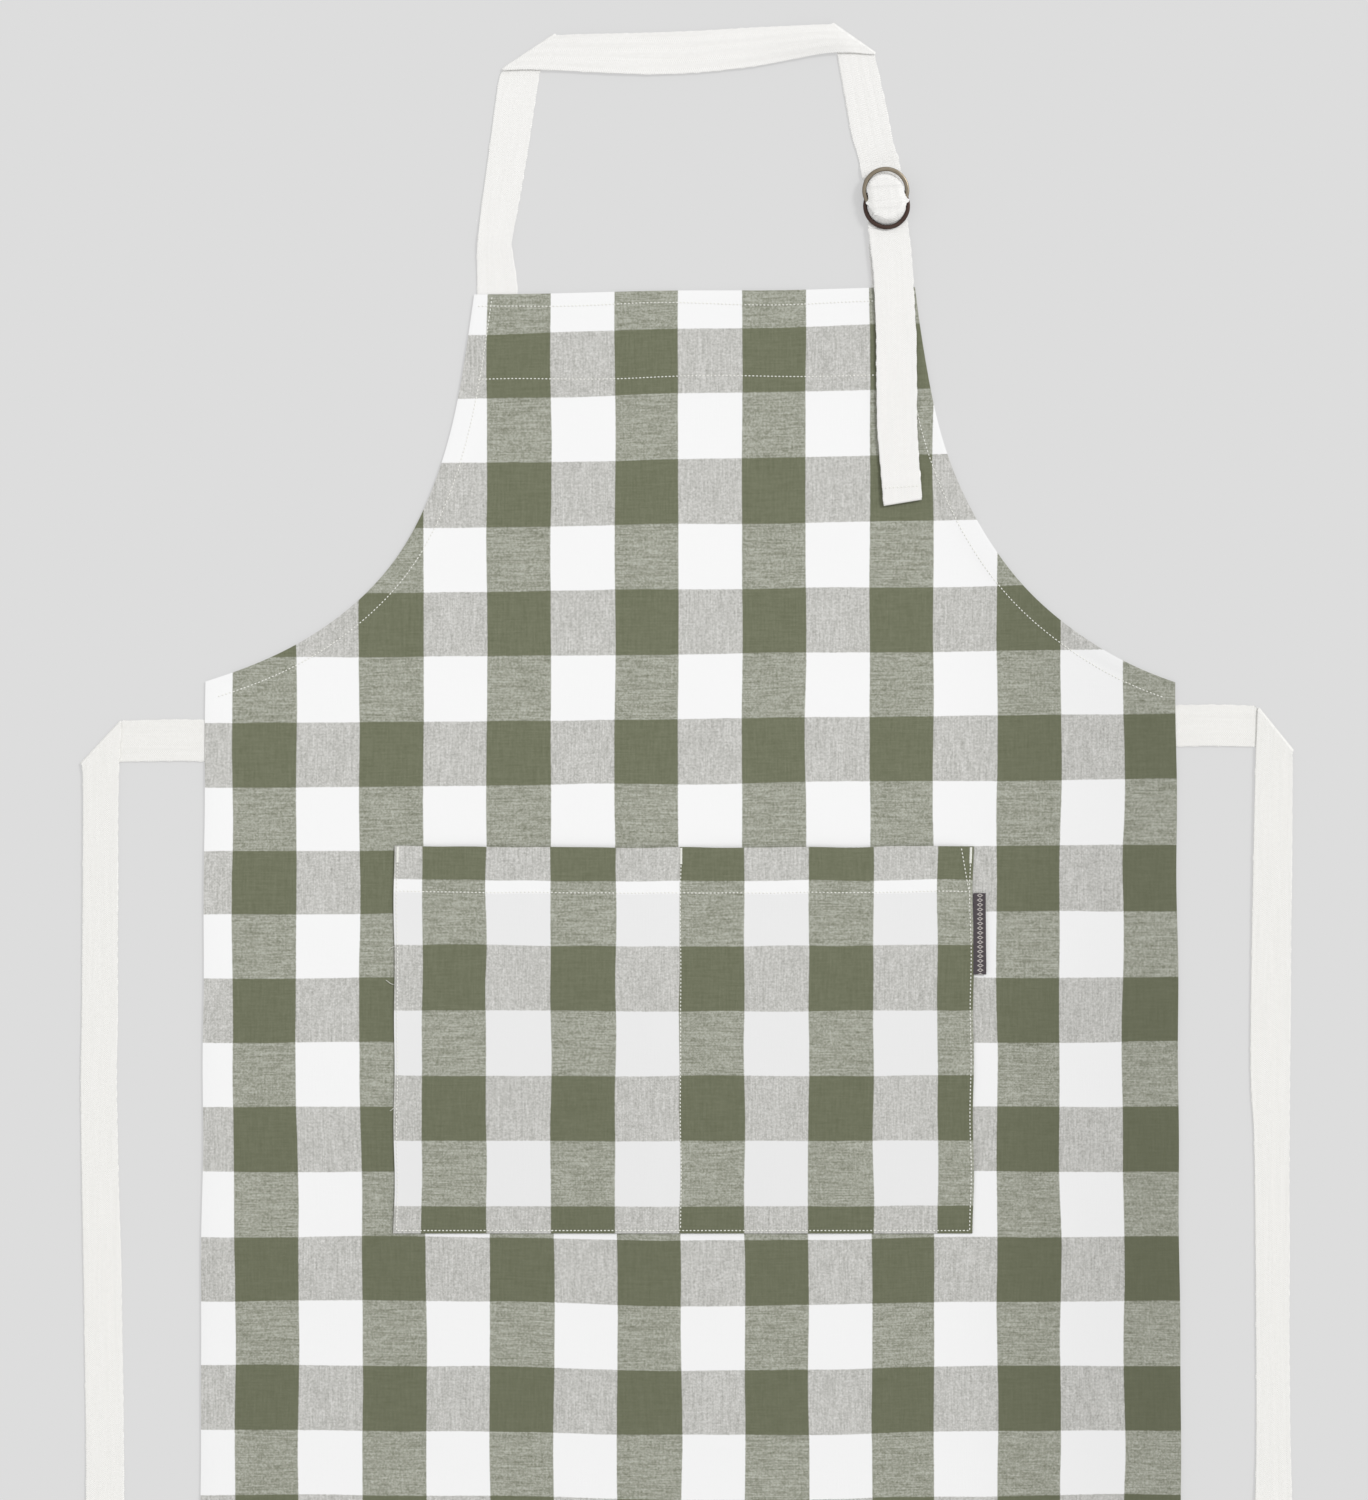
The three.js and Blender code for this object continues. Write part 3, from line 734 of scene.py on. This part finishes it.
def stitches(name, places, ways, heights, material, lengths, radius=THREAD_RADIUS):
    """Many stitches as one mesh, each set at its place, height and heading."""
    vertices, faces = [], []
    for (x, y), (dx, dy), z, length in zip(places, ways, heights, lengths):
        points = SHAPE_POINTS * [length, radius, radius]
        start = len(vertices) * len(SHAPE_POINTS)
        vertices.append(np.column_stack([
            x + points[:, 0] * dx - points[:, 1] * dy,
            y + points[:, 0] * dy + points[:, 1] * dx,
            z + points[:, 2],
        ]))
        faces += [tuple(start + i for i in face) for face in SHAPE_FACES]
    return new_object(name, to_frame(np.concatenate(vertices)), faces, material, smooth_angle=80)


def seam(name, line, surface, material, body="apron", node=None, seed=1, stray=None):
    """A row of stitches along a line, sunk a little into the cloth's surface."""
    random = np.random.default_rng(seed)
    place, way = walk(line, STITCH_PITCH)
    if stray is not None:
        place = place + np.column_stack(stray(place[:, 0], place[:, 1]))
    heights = surface(place[:, 0], place[:, 1]) + 0.06 + random.uniform(-0.04, 0.04, len(place))
    turn = random.normal(0, 0.045, len(place))
    way = np.column_stack([way[:, 0] - way[:, 1] * turn, way[:, 1] + way[:, 0] * turn])
    lengths = STITCH_LENGTH * random.uniform(0.9, 1.1, len(place))
    piece = stitches(name, place, way, heights, material, lengths)
    belongs(piece, body, node, "cotton_thread")


def panel_top(x, y):
    return panel_height(x, y) + CLOTH / 2


def pocket_top(x, y):
    return pocket_height(x, y) + CLOTH / 2


def panel_seams(thread):
    def sew(name, line, node, seed):
        seam(name, line, panel_top, thread, node=node, seed=seed, stray=wander)

    reach = HALF_BIB - 2.5
    places = BIB_SHIFT + np.linspace(-reach, reach, 60)
    for seed, depth, name in zip((51, 52), FACING_STITCHES, ("upper", "lower")):
        line = [(x, -depth + 1.1 * waves(x, 0.0, seed, 160)) for x in places]
        sew(f"facing_seam_{name}", line, f"facing_stitch_{name}", seed)
    for name, side in SIDES.items():
        line = inset(armhole(np.linspace(0, 0.99, 140), side), side * ARMHOLE_STITCH)
        sew(f"armhole_seam_{name}", line, f"armhole_stitch_{name}", 61 + side)
    foot = -LENGTH + BOTTOM_STITCH
    line = [(-HALF_SKIRT + 2, foot), (0, foot), (HALF_SKIRT - 2, foot)]
    sew("bottom_seam", line, "bottom_stitch", 71)


POCKET_SEAM = 2.2
BARTACK = 11.5


def pocket_seams(thread):
    left, right = POCKET_LOW[0] + POCKET_SEAM, POCKET_HIGH[0] - POCKET_SEAM
    foot, mouth = POCKET_LOW[1] + POCKET_SEAM, POCKET_HIGH[1]
    start = mouth - BARTACK - 1.5
    hem = mouth - POCKET_HEM + 1
    sides = [(left, start), (left, foot), (right, foot), (right, start)]
    lines = {
        "pocket_edge_seam": (sides, "pocket_edge_stitch"),
        "pocket_divider_seam": ([(DIVIDER_X, start), (DIVIDER_X, foot + 1.5)], "pocket_divider_stitch"),
        "pocket_hem_seam_left": ([(left + 1.5, hem), (DIVIDER_X - 1.5, hem)], "pocket_hem_stitch_left"),
        "pocket_hem_seam_right": ([(DIVIDER_X + 1.5, hem), (right - 1.5, hem)], "pocket_hem_stitch_right"),
        "pocket_corner_seam": ([(right - 7.2, mouth - 1), (right - 0.6, mouth - POCKET_HEM + 2)], None),
    }
    for i, (name, (line, node)) in enumerate(lines.items()):
        seam(name, line, pocket_top, thread, node=node, seed=81 + i, stray=pocket_edge)


def bartacks(thread):
    """Dense short cross stitches that lock the pocket's mouth at its seams."""
    places = {
        "left": POCKET_LOW[0] + POCKET_SEAM,
        "middle": DIVIDER_X,
        "right": POCKET_HIGH[0] - POCKET_SEAM,
    }
    for i, (name, x) in enumerate(places.items()):
        random = np.random.default_rng(91 + i)
        down = POCKET_HIGH[1] - 1 - np.arange(0, BARTACK, 0.52)
        place = np.column_stack([np.full_like(down, x), down])
        place = place + np.column_stack(pocket_edge(place[:, 0], place[:, 1]))
        tilt = 0.12 * (-1) ** np.arange(len(down))
        way = np.column_stack([np.ones_like(down), tilt])
        heights = pocket_top(place[:, 0], place[:, 1]) + 0.12
        lengths = 2.1 * random.uniform(0.9, 1.08, len(down))
        piece = stitches(f"bartack_{name}", place, way, heights, thread, lengths, radius=0.3)
        belongs(piece, "apron", f"pocket_bartack_{name}", "cotton_thread")


def thread_ends(thread):
    """A few loose ends of sewing thread along the pocket's left seam."""
    random = np.random.default_rng(101)
    edge = POCKET_LOW[0]
    for i, (down, reach, drop) in enumerate(((75, 5.5, 3.0), (104, 7.0, -4.0), (196, 4.0, 2.5))):
        curve = bpy.data.curves.new(f"thread_end_{i + 1}", "CURVE")
        curve.dimensions = "3D"
        curve.bevel_depth = 0.16 * MM
        curve.bevel_resolution = 2
        line = curve.splines.new("NURBS")
        line.points.add(4)
        line.use_endpoint_u = True
        for j, share in enumerate(np.linspace(0, 1, 5)):
            x = edge + 1.0 - reach * share
            y = POCKET_HIGH[1] - down - drop * share ** 2 + random.uniform(-0.5, 0.5)
            z = float(panel_top(x, y)) + 0.35 + 0.9 * math.sin(math.pi * share)
            line.points[j].co = (*to_frame([x, y, z]), 1.0)
        curve.materials.append(thread)
        belongs(placed(curve.name, curve), "apron", None, "cotton_thread")


# ---- Label ----
def label(material):
    """A folded woven label that stands out of the pocket's right seam."""
    low, high = box_mm("label")
    x_line = np.linspace(low[0] - 0.1, high[0], 20)
    y_line = np.linspace(high[1], low[1], 60)
    x, y = np.meshgrid(x_line, y_line)
    out = np.clip((x - low[0]) / (high[0] - low[0]), 0, 1)
    height = (low[2] + high[2]) / 2 + 0.25 + 0.7 * out ** 2 + 0.2 * waves(x, y, 111, 40) * out
    shift = 0.35 * out * waves(y, y * 0, 112, 50)
    grid = np.stack([x + shift, y, height], axis=-1)
    middle = (low[0] + high[0]) / 2
    flat = np.stack([x - middle - 0.3, y - high[1]], axis=-1)
    piece = cloth_piece("side_label", grid, flat, 0.7, material, edge=0.6)
    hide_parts("label")
    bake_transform(piece)


# ---- Cotton tape ----
ACROSS = (1 - np.cos(np.linspace(0, math.pi, 17))) / 2  # columns of a tape, closer at its selvedges
SPREAD = ACROSS * 2 - 1  # the same columns, from -1 at one edge to 1 at the other
END_TURN = 13.0  # length turned under at a tape's free end
LOOP_BEND = ((0, -1), (0, 14))  # two places past the bib's edge, given as the neck and anchor tapes' span


def curve_through(points, count):
    """A smooth line (Catmull-Rom) through points of any dimension."""
    points = np.asarray(points, float)
    padded = np.vstack([2 * points[0] - points[1], points, 2 * points[-1] - points[-2]])
    at = np.linspace(0, len(points) - 1 - 1e-9, count)
    i = at.astype(int)
    t = (at - i)[:, None]
    a, b, c, d = (padded[i + k] for k in range(4))
    squared = (2 * a - 5 * b + 4 * c - d) * t ** 2
    cubed = (3 * b - a - 3 * c + d) * t ** 3
    return 0.5 * (2 * b + (c - a) * t + squared + cubed)


def rows_between(left, right, heights):
    """Rows of points across a tape, from its left and right edges and the middle height of each row."""
    left, right = np.asarray(left, float), np.asarray(right, float)
    plan = left[:, None] * (1 - ACROSS)[:, None] + right[:, None] * ACROSS[:, None]
    height = np.repeat(np.asarray(heights, float)[:, None], len(ACROSS), axis=1)
    return np.concatenate([plan, height[..., None]], axis=-1)


def stretch(stations, heights, step=3.0):
    """Rows along a stretch of tape. Each station is (left edge, right edge); heights are at each."""
    ends = np.array([[*left, *right, height] for (left, right), height in zip(stations, heights)], float)
    middle = (ends[:, 0:2] + ends[:, 2:4]) / 2
    count = max(4, int(np.linalg.norm(np.diff(middle, axis=0), axis=1).sum() / step))
    if len(ends) > 2:
        line = curve_through(ends, count)
    else:
        line = ends[0] + (ends[-1] - ends[0]) * np.linspace(0, 1, count)[:, None]
    return rows_between(line[:, 0:2], line[:, 2:4], line[:, 4])


def level_station(x, y, width, side=1):
    """Edges of a tape that runs up or down the picture; side 1 has its left edge at lower x."""
    half = side * width / 2
    return ((x - half, y), (x + half, y))


def fold_over(left, right, outside, low, high, bulge=1.0, steps=8):
    """Rows round a crease, from one layer of tape up to the layer that lies on it."""
    rows = []
    for angle in np.linspace(0, math.pi, steps):
        out = np.asarray(outside, float) * bulge * math.sin(angle)
        height = (low + high) / 2 - (high - low) / 2 * math.cos(angle)
        rows.append(rows_between([np.add(left, out)], [np.add(right, out)], [height])[0])
    return np.array(rows)


def scalloped(grid, depth=0.4, step=0.48):
    """The tape with rows close enough to show the weft's turns, which stand out at its edges."""
    run = run_along(grid[:, len(ACROSS) // 2])
    keep = np.concatenate([[True], np.diff(run) > 1e-4])
    grid, run = grid[keep], run[keep]
    at = np.linspace(0, run[-1], int(run[-1] / step))
    lines = [np.interp(at, run, grid[:, j, k]) for j in range(len(ACROSS)) for k in range(3)]
    fine = np.stack(lines, axis=-1).reshape(len(at), len(ACROSS), 3)
    random = np.random.default_rng(161)
    for edge, inner in ((0, 1), (-1, -2)):
        out = fine[:, edge] - fine[:, inner]
        out /= np.maximum(np.linalg.norm(out, axis=1, keepdims=True), 1e-9)
        turn = 0.5 + 0.5 * np.sin(at * math.tau / SELVEDGE_PITCH + random.uniform(0, 6))
        loops = depth * (turn - 0.4) * random.uniform(0.6, 1.3, len(at))
        fine[:, edge] += out * (loops + 0.22 * waves(at, 0.0, 162 + inner, 7))[:, None]
    return fine


def turned_end(left, right, way, high, low):
    """Rows of a tape's end turned under: round its fold, then back along the way it came."""
    way = np.asarray(way, float)
    turn = fold_over(left, right, way, high, low, 0.75, 7)
    under = stretch([(left, right), (left - END_TURN * way, right - END_TURN * way)], [low, low], 2.0)
    return [turn[1:], under[1:]]


def tape_piece(name, rows, material, nodes, span):
    """A tape from its rows, with its flat length followed along its middle.

    The span from one place to another is not used; the tape is bound to no body."""
    grid = scalloped(np.concatenate(rows))
    left, middle, right = (run_along(grid[:, column]) for column in (0, len(ACROSS) // 2, -1))
    along = left[:, None] * (1 - ACROSS) + right[:, None] * ACROSS
    flat = np.stack([np.tile((ACROSS - 0.5) * TAPE_WIDTH, (len(grid), 1)), along], axis=-1)
    piece = cloth_piece(name, grid, flat, TAPE, material, edge=0.45)
    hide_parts(*nodes)
    start, end = (to_frame([*place, 0]) for place in span)
    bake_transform(piece)


# The neck loop: the left leg's (height, shift, width), the two creases, the bar between them by its
# lower edge, and the right leg's (height, place, width).
LEFT_ROOT_X = middle_mm("neck_strap_root")[0]
NECK_LEG = [(28, -1.5, 27.2), (39, -1.6, 25.8), (62, 1.8, 27.8), (107, 8.6, 29.2), (152, 15.0, 30.0)]
NECK_TOP = (163.5, 16.8, 29.4)
LEFT_CREASE = ((-140.6, 166.5), (-100.9, 192.8))
RIGHT_CREASE = ((138.0, 178.5), (105.8, 201.0))
BAR_LOWER = [(-113, 166.9), (-24.5, 163.5), (42.5, 168.7), (102.5, 179.4)]
RIGHT_LEG = [(163.5, 127.1, 28.8), (141, 131.6, 30.0), (118, 135.8, 30.4), (107, 138.9, 29.9)]

RING_LOW, RING_HIGH = box_mm("ring_upper")
UPPER_RING = (RING_LOW + RING_HIGH) / 2
LOWER_RING = middle_mm("ring_lower")
RING_OUTER = (RING_HIGH[0] - RING_LOW[0]) / 2
RING_BAND = 3.2
RING_INNER = RING_OUTER - RING_BAND
RING_THICK = RING_HIGH[2] - RING_LOW[2]
RING_GAP = float(np.linalg.norm((LOWER_RING - UPPER_RING)[:2]))
ALONG = (LOWER_RING - UPPER_RING)[:2] / RING_GAP  # along the tape, from the upper ring to the bib
SIDEWAYS = np.array([-ALONG[1], ALONG[0]])  # towards +X


def at_ring(s, t):
    """A place in plan, s along the tape from the upper ring's centre and t to its right."""
    s, t = np.asarray(s, float)[..., None], np.asarray(t, float)[..., None]
    return UPPER_RING[:2] + s * ALONG + t * SIDEWAYS


THREADING = 4.0  # the tape's run while it rises through the upper ring or dives through the lower


def rows_at_ring(s, t, height):
    """Rows of points of a tape at the rings; t is one number for each point."""
    s, height = np.broadcast_to(s, t.shape), np.broadcast_to(height, t.shape)
    return np.concatenate([at_ring(s, t), height[..., None]], axis=-1)


def circle_half(radius, t):
    """Half the length of a circle's chord that stands t from its middle."""
    return np.sqrt(np.maximum(radius * radius - t * t, 0))


def threaded_height(s, t):
    """Middle height of the neck tape where it climbs through the upper ring and dives under the lower."""
    low = TAPE_Z + (2.2 - TAPE_Z) * smooth(s, -23, -14)
    top = 12.25 - 1.75 * smooth(np.abs(t), 9.5, 14.5)
    t = np.clip(np.abs(t), 0, 13.6)
    start = 0.3 - circle_half(RING_INNER, t)
    end = RING_GAP - 0.3 + circle_half(RING_INNER, t)
    climb = smooth(s, start, start + THREADING)
    dive = smooth(s, end - THREADING, end)
    return low + (top - low) * climb + (TAIL_Z - top) * dive


def threaded_half(s, side):
    """Half-width of the gathered tape: it narrows inside the rings and spreads over them between."""
    narrow = 1.4 * (smooth(s, -13, -5) - smooth(s, 16.5, 25))
    reach, length = (3.2, 2.0) if side > 0 else (2.5, 1.5)
    spread = reach * np.exp(-((s - 8.9) / length) ** 2)
    return TAPE_WIDTH / 2 - narrow + spread


def tape_drift(s):
    """Sideways stray of the tape from the rings' axis, through the rings and down the tail."""
    places = [-24, -18, -11, -4, 6, 20, 58, 110, 178, 240]
    return np.interp(s, places, [-3.2, -2.7, -1.8, -0.7, 0.3, 0.0, 1.8, 0.8, -3.1, -2.4])


SEAM_S = RING_GAP + RING_OUTER - RING_BAND / 2  # the neck tape's two pieces meet under the lower ring
TAIL_END_S = 232.5
TAIL_SEAM = 10.5  # from the tail's end to the seam across it


def threaded_rows(first, last, step=0.7):
    """Rows of the tape through both rings, from one place along it to another."""
    s = np.linspace(first, last, int((last - first) / step))[:, None]
    t = -SPREAD * np.where(SPREAD < 0, threaded_half(s, 1), threaded_half(s, -1))
    return rows_at_ring(s, t + tape_drift(s), threaded_height(s, t))


def neck_tape(material):
    """From its sewn end behind the bib, round the two creases and through the rings."""
    leg = [level_station(LEFT_ROOT_X, -14, TAPE_WIDTH), level_station(LEFT_ROOT_X, 6, TAPE_WIDTH)]
    leg += [level_station(LEFT_ROOT_X + shift, y, width) for y, shift, width in NECK_LEG]
    leg += [level_station(LEFT_ROOT_X + NECK_TOP[1], NECK_TOP[0], NECK_TOP[2])]
    heights = [TAPE_Z, TAPE_Z, 1.5, 1.9, 1.1, 0.9, 0.8, TAPE_Z]
    up = stretch(leg, heights)
    to_crease = stretch([leg[-1], LEFT_CREASE], [TAPE_Z, TAPE_Z], 2.0)[1:]
    first = fold_over(*LEFT_CREASE, (-0.55, 0.83), TAPE_Z, UPPER_TAPE_Z, 1.3)
    upper = [np.add(LEFT_CREASE[1], np.subtract(RIGHT_CREASE[1], LEFT_CREASE[1]) * share)
             for share in (0.13, 0.45, 0.7, 0.97)]
    upper[1][1] -= 0.9
    bar = [LEFT_CREASE, *zip(BAR_LOWER, upper), RIGHT_CREASE]
    across = stretch(bar, [UPPER_TAPE_Z, 2.5, 1.9, 2.0, 2.7, UPPER_TAPE_Z])[1:]
    x = across[..., 0]
    arch = (1 - SPREAD ** 2) * 2.6 * np.exp(-((x - 95) / 45) ** 2)
    across[..., 2] += arch * (1 - smooth(x, 112, 128)) + 0.15 * waves(x, across[..., 1], 121, 60)
    second = fold_over(*RIGHT_CREASE, (0.57, 0.82), UPPER_TAPE_Z, TAPE_Z, 1.3)
    down = [RIGHT_CREASE, *[level_station(x, y, width, -1) for y, x, width in RIGHT_LEG]]
    entry = threaded_rows(-24, SEAM_S)
    down.append((tuple(entry[0, 0, :2]), tuple(entry[0, -1, :2])))
    to_rings = stretch(down, [TAPE_Z] * len(down))[1:-1]
    rows = [up, to_crease, first[1:], across, second[1:], to_rings, entry]
    nodes = ("neck_strap", "neck_strap_root")
    tape_piece("neck_tape", rows, material, nodes, LOOP_BEND)


def tail_tape(material):
    """The free end beyond the lower ring, with its end turned under and sewn."""
    s = np.concatenate([np.linspace(SEAM_S, 60, 40), np.linspace(62.5, TAIL_END_S, 74)])
    lift = 0.9 * smooth(s, TAIL_END_S - 24, TAIL_END_S - 14)
    ripple = 0.35 * waves(s, s * 0, 131, 95) * smooth(s, 60, 90)
    height = TAIL_Z + lift + np.abs(ripple)
    half = threaded_half(s, 1) + 0.35 * waves(s, s * 0, 132, 120) * smooth(s, 45, 80)
    skew = 1.4 * SPREAD * smooth(s, TAIL_END_S - 26, TAIL_END_S)[:, None]
    t = -SPREAD * half[:, None] + tape_drift(s)[:, None]
    top = rows_at_ring(s[:, None] + skew, t, height[:, None])
    rows = [top, *turned_end(top[-1, 0, :2], top[-1, -1, :2], ALONG, height[-1], height[-1] - TAPE - 0.1)]
    span = (at_ring(38, 0), at_ring(46, 0))
    tape_piece("tail_tape", rows, material, ("strap_tail",), span)


def tail_seam(thread):
    s = TAIL_END_S - TAIL_SEAM
    line = at_ring(np.full(2, s), np.array([-13.2, 13.2]) + tape_drift(s))
    top = TAIL_Z + 0.95 + TAPE / 2
    seam("tail_end_seam", line, lambda x, y: np.full_like(x, top), thread, body="tail",
         node="tail_hem_stitch", seed=141)


def anchor_tape(material):
    """The short doubled tape: up behind the tail, round both rings and back, sewn to itself."""
    bottom = [(s, TAPE_Z) for s in np.linspace(90, -2.8, 60)]
    wrap = [(-2.8 - 4.85 * math.sin(a), 5.55 - 4.85 * math.cos(a)) for a in np.linspace(0, math.pi, 16)[1:]]
    over = [(s, 10.4) for s in np.linspace(-1, 17.6, 14)]
    down = curve_through([(17.6, 10.4), (18.9, 9.6), (20.4, 4.4), (22.0, 2.6), (34, 2.4)], 26)[1:]
    path = np.array([*bottom, *wrap, *over, *down])
    half = 10 + 5 * smooth(path[:, 0], 24, 40)
    half[len(bottom):] = 10 + 1.5 * smooth(path[len(bottom):, 0], 24, 34)
    rows = rows_at_ring(path[:, :1], SPREAD * half[:, None], path[:, 1:])
    nodes = ("anchor_loop", "anchor_root")
    tape_piece("anchor_tape", [rows], material, nodes, LOOP_BEND)


# Each tie's crease, the stray and width of its hanging part, and the height of the part sewn on.
TIES = {
    "left": {"crease": ((-456.4, -354.0), (-426.4, -321.8)), "outside": (-0.72, 0.69),
             "hang": [(-380, -442.1, 26.5), (-530, -442.9, 27.0), (-606, -443.6, 27.2), (-755, -440.6, 28.5),
                      (-868, -439.1, 28.5)]},
    "right": {"crease": ((424.9, -312.0), (451.1, -344.3)), "outside": (0.72, 0.69),
              "hang": [(-380, 436.9, 28.5), (-568, 434.6, 30.0), (-643, 435.8, 26.5), (-793, 436.5, 25.2),
                       (-868, 436.9, 26.0)]},
}


def waist_tie(side, sign, material):
    """Out from the panel's side, folded down over itself and along the skirt, its end turned under."""
    facts = TIES[side]
    crease = facts["crease"]
    height = middle_mm(f"tie_root_{side}")[1]
    edge = float(edge_x(height, sign))
    half = sign * (TAPE_WIDTH / 2 + 0.6)

    def station(x, y):
        return ((x, y + half), (x, y - half))

    near_crease = np.add(crease[0], crease[1])[0] / 2 - sign * 15.5
    sewn = [station(edge - sign * 14, height), station(edge, height),
            station(edge + sign * 24, height + 0.5), station(near_crease, height - 0.2)]
    out = stretch(sewn, [TAPE_Z, TAPE_Z + 0.1, 1.2, TAPE_Z])
    to_crease = stretch([sewn[-1], crease], [TAPE_Z, TAPE_Z], 2.0)[1:]
    folded = fold_over(*crease, facts["outside"], TAPE_Z, UPPER_TAPE_Z, 1.2)
    end = box_mm(f"tie_{side}")[0][1] + 1.0
    hang = [*facts["hang"], (end, facts["hang"][-1][1], 28.5)]
    stations = [crease, *[level_station(x, y, width) for y, x, width in hang]]
    heights = [UPPER_TAPE_Z, 1.9] + [TAPE_Z + 0.25] * (len(hang) - 2) + [TAPE_Z + TAPE + 0.1]
    down = stretch(stations, heights)[1:]
    ripple = 0.25 * np.abs(waves(down[..., 1], down[..., 0] * 0, 151 + sign, 130))
    down[..., 2] += ripple * smooth(-down[..., 1], 400, 460)
    turned = turned_end(down[-1, 0, :2], down[-1, -1, :2], (0, -1), heights[-1], TAPE_Z)
    rows = [out, to_crease, folded[1:], down, *turned]
    nodes = (f"tie_{side}", f"tie_root_{side}")
    span = ((edge - sign, 0), (edge + sign * 14, 0))
    tape_piece(f"waist_tie_{side}", rows, material, nodes, span)


# ---- Rings ----
def ring(name, node, body, centre, material, slot):
    """A flat cast ring with eased edges."""
    around = np.linspace(0, math.tau, 128, endpoint=False)[:, None]
    girth = np.linspace(0, math.tau, 24, endpoint=False)

    def eased(wave, size):
        """Half the size times a wave that is squarer than a sine."""
        return np.sign(wave) * np.abs(wave) ** 0.62 * size / 2

    def spread(*columns):
        return np.stack(np.broadcast_arrays(*columns), axis=-1).reshape(-1, 3)

    band = eased(np.cos(girth), RING_BAND)
    lift = eased(np.sin(girth), RING_THICK)
    middle = (RING_OUTER + RING_INNER) / 2
    radius = middle + band
    x, y, z = centre
    points = spread(x + radius * np.cos(around), y + radius * np.sin(around), z + lift)
    index = np.arange(len(points)).reshape(len(around), len(girth))
    right, up = np.roll(index, -1, axis=0), np.roll(index, -1, axis=1)
    faces = np.stack([index, right, np.roll(right, -1, axis=1), up], axis=-1).reshape(-1, 4)
    flat = spread(around * middle, girth * 1.3, band / (RING_BAND / 2))
    piece = new_object(name, to_frame(points), faces, material, flat)
    outward(piece)
    belongs(piece, body, node, slot)


# ---- The whole scene ----
def build():
    camera()
    studio()
    floor()
    white = linear(248, 248, 248)
    cloth = gingham("gingham_panel", PANEL_CHECKS, white)
    pocket = gingham("gingham_pocket", POCKET_CHECKS, linear(237, 237, 237), mouth=white)
    tape = cotton_tape("cotton_tape", linear(240, 239, 236), linear(255, 254, 252))
    dull_tape = cotton_tape("cotton_tape_ties", linear(235, 234, 230), linear(252, 251, 248))
    thread = cotton_thread()
    neck_tape(tape)
    tail_tape(tape)
    anchor_tape(tape)
    waist_tie("left", -1, dull_tape)
    waist_tie("right", 1, dull_tape)
    panel_cloth(cloth)
    hems(cloth)
    pocket_cloth(pocket)
    pocket_hem(pocket)
    panel_seams(thread)
    pocket_seams(thread)
    bartacks(thread)
    thread_ends(thread)
    label(label_cloth())
    pale = ring_metal("pale_metal", linear(120, 108, 92), linear(176, 166, 148))
    ring("ring_upper_band", "ring_upper", "upper_ring", UPPER_RING, pale, "ring_metal_pale")
    # Painted shade: the lower ring uses the ring metal made darker, standing in for the shade it lies in.
    dark = ring_metal("painted_shade_metal", linear(62, 46, 44), linear(104, 88, 80))
    ring("ring_lower_band", "ring_lower", "lower_ring", LOWER_RING, dark, "ring_metal_dark")
    tail_seam(thread)


build()
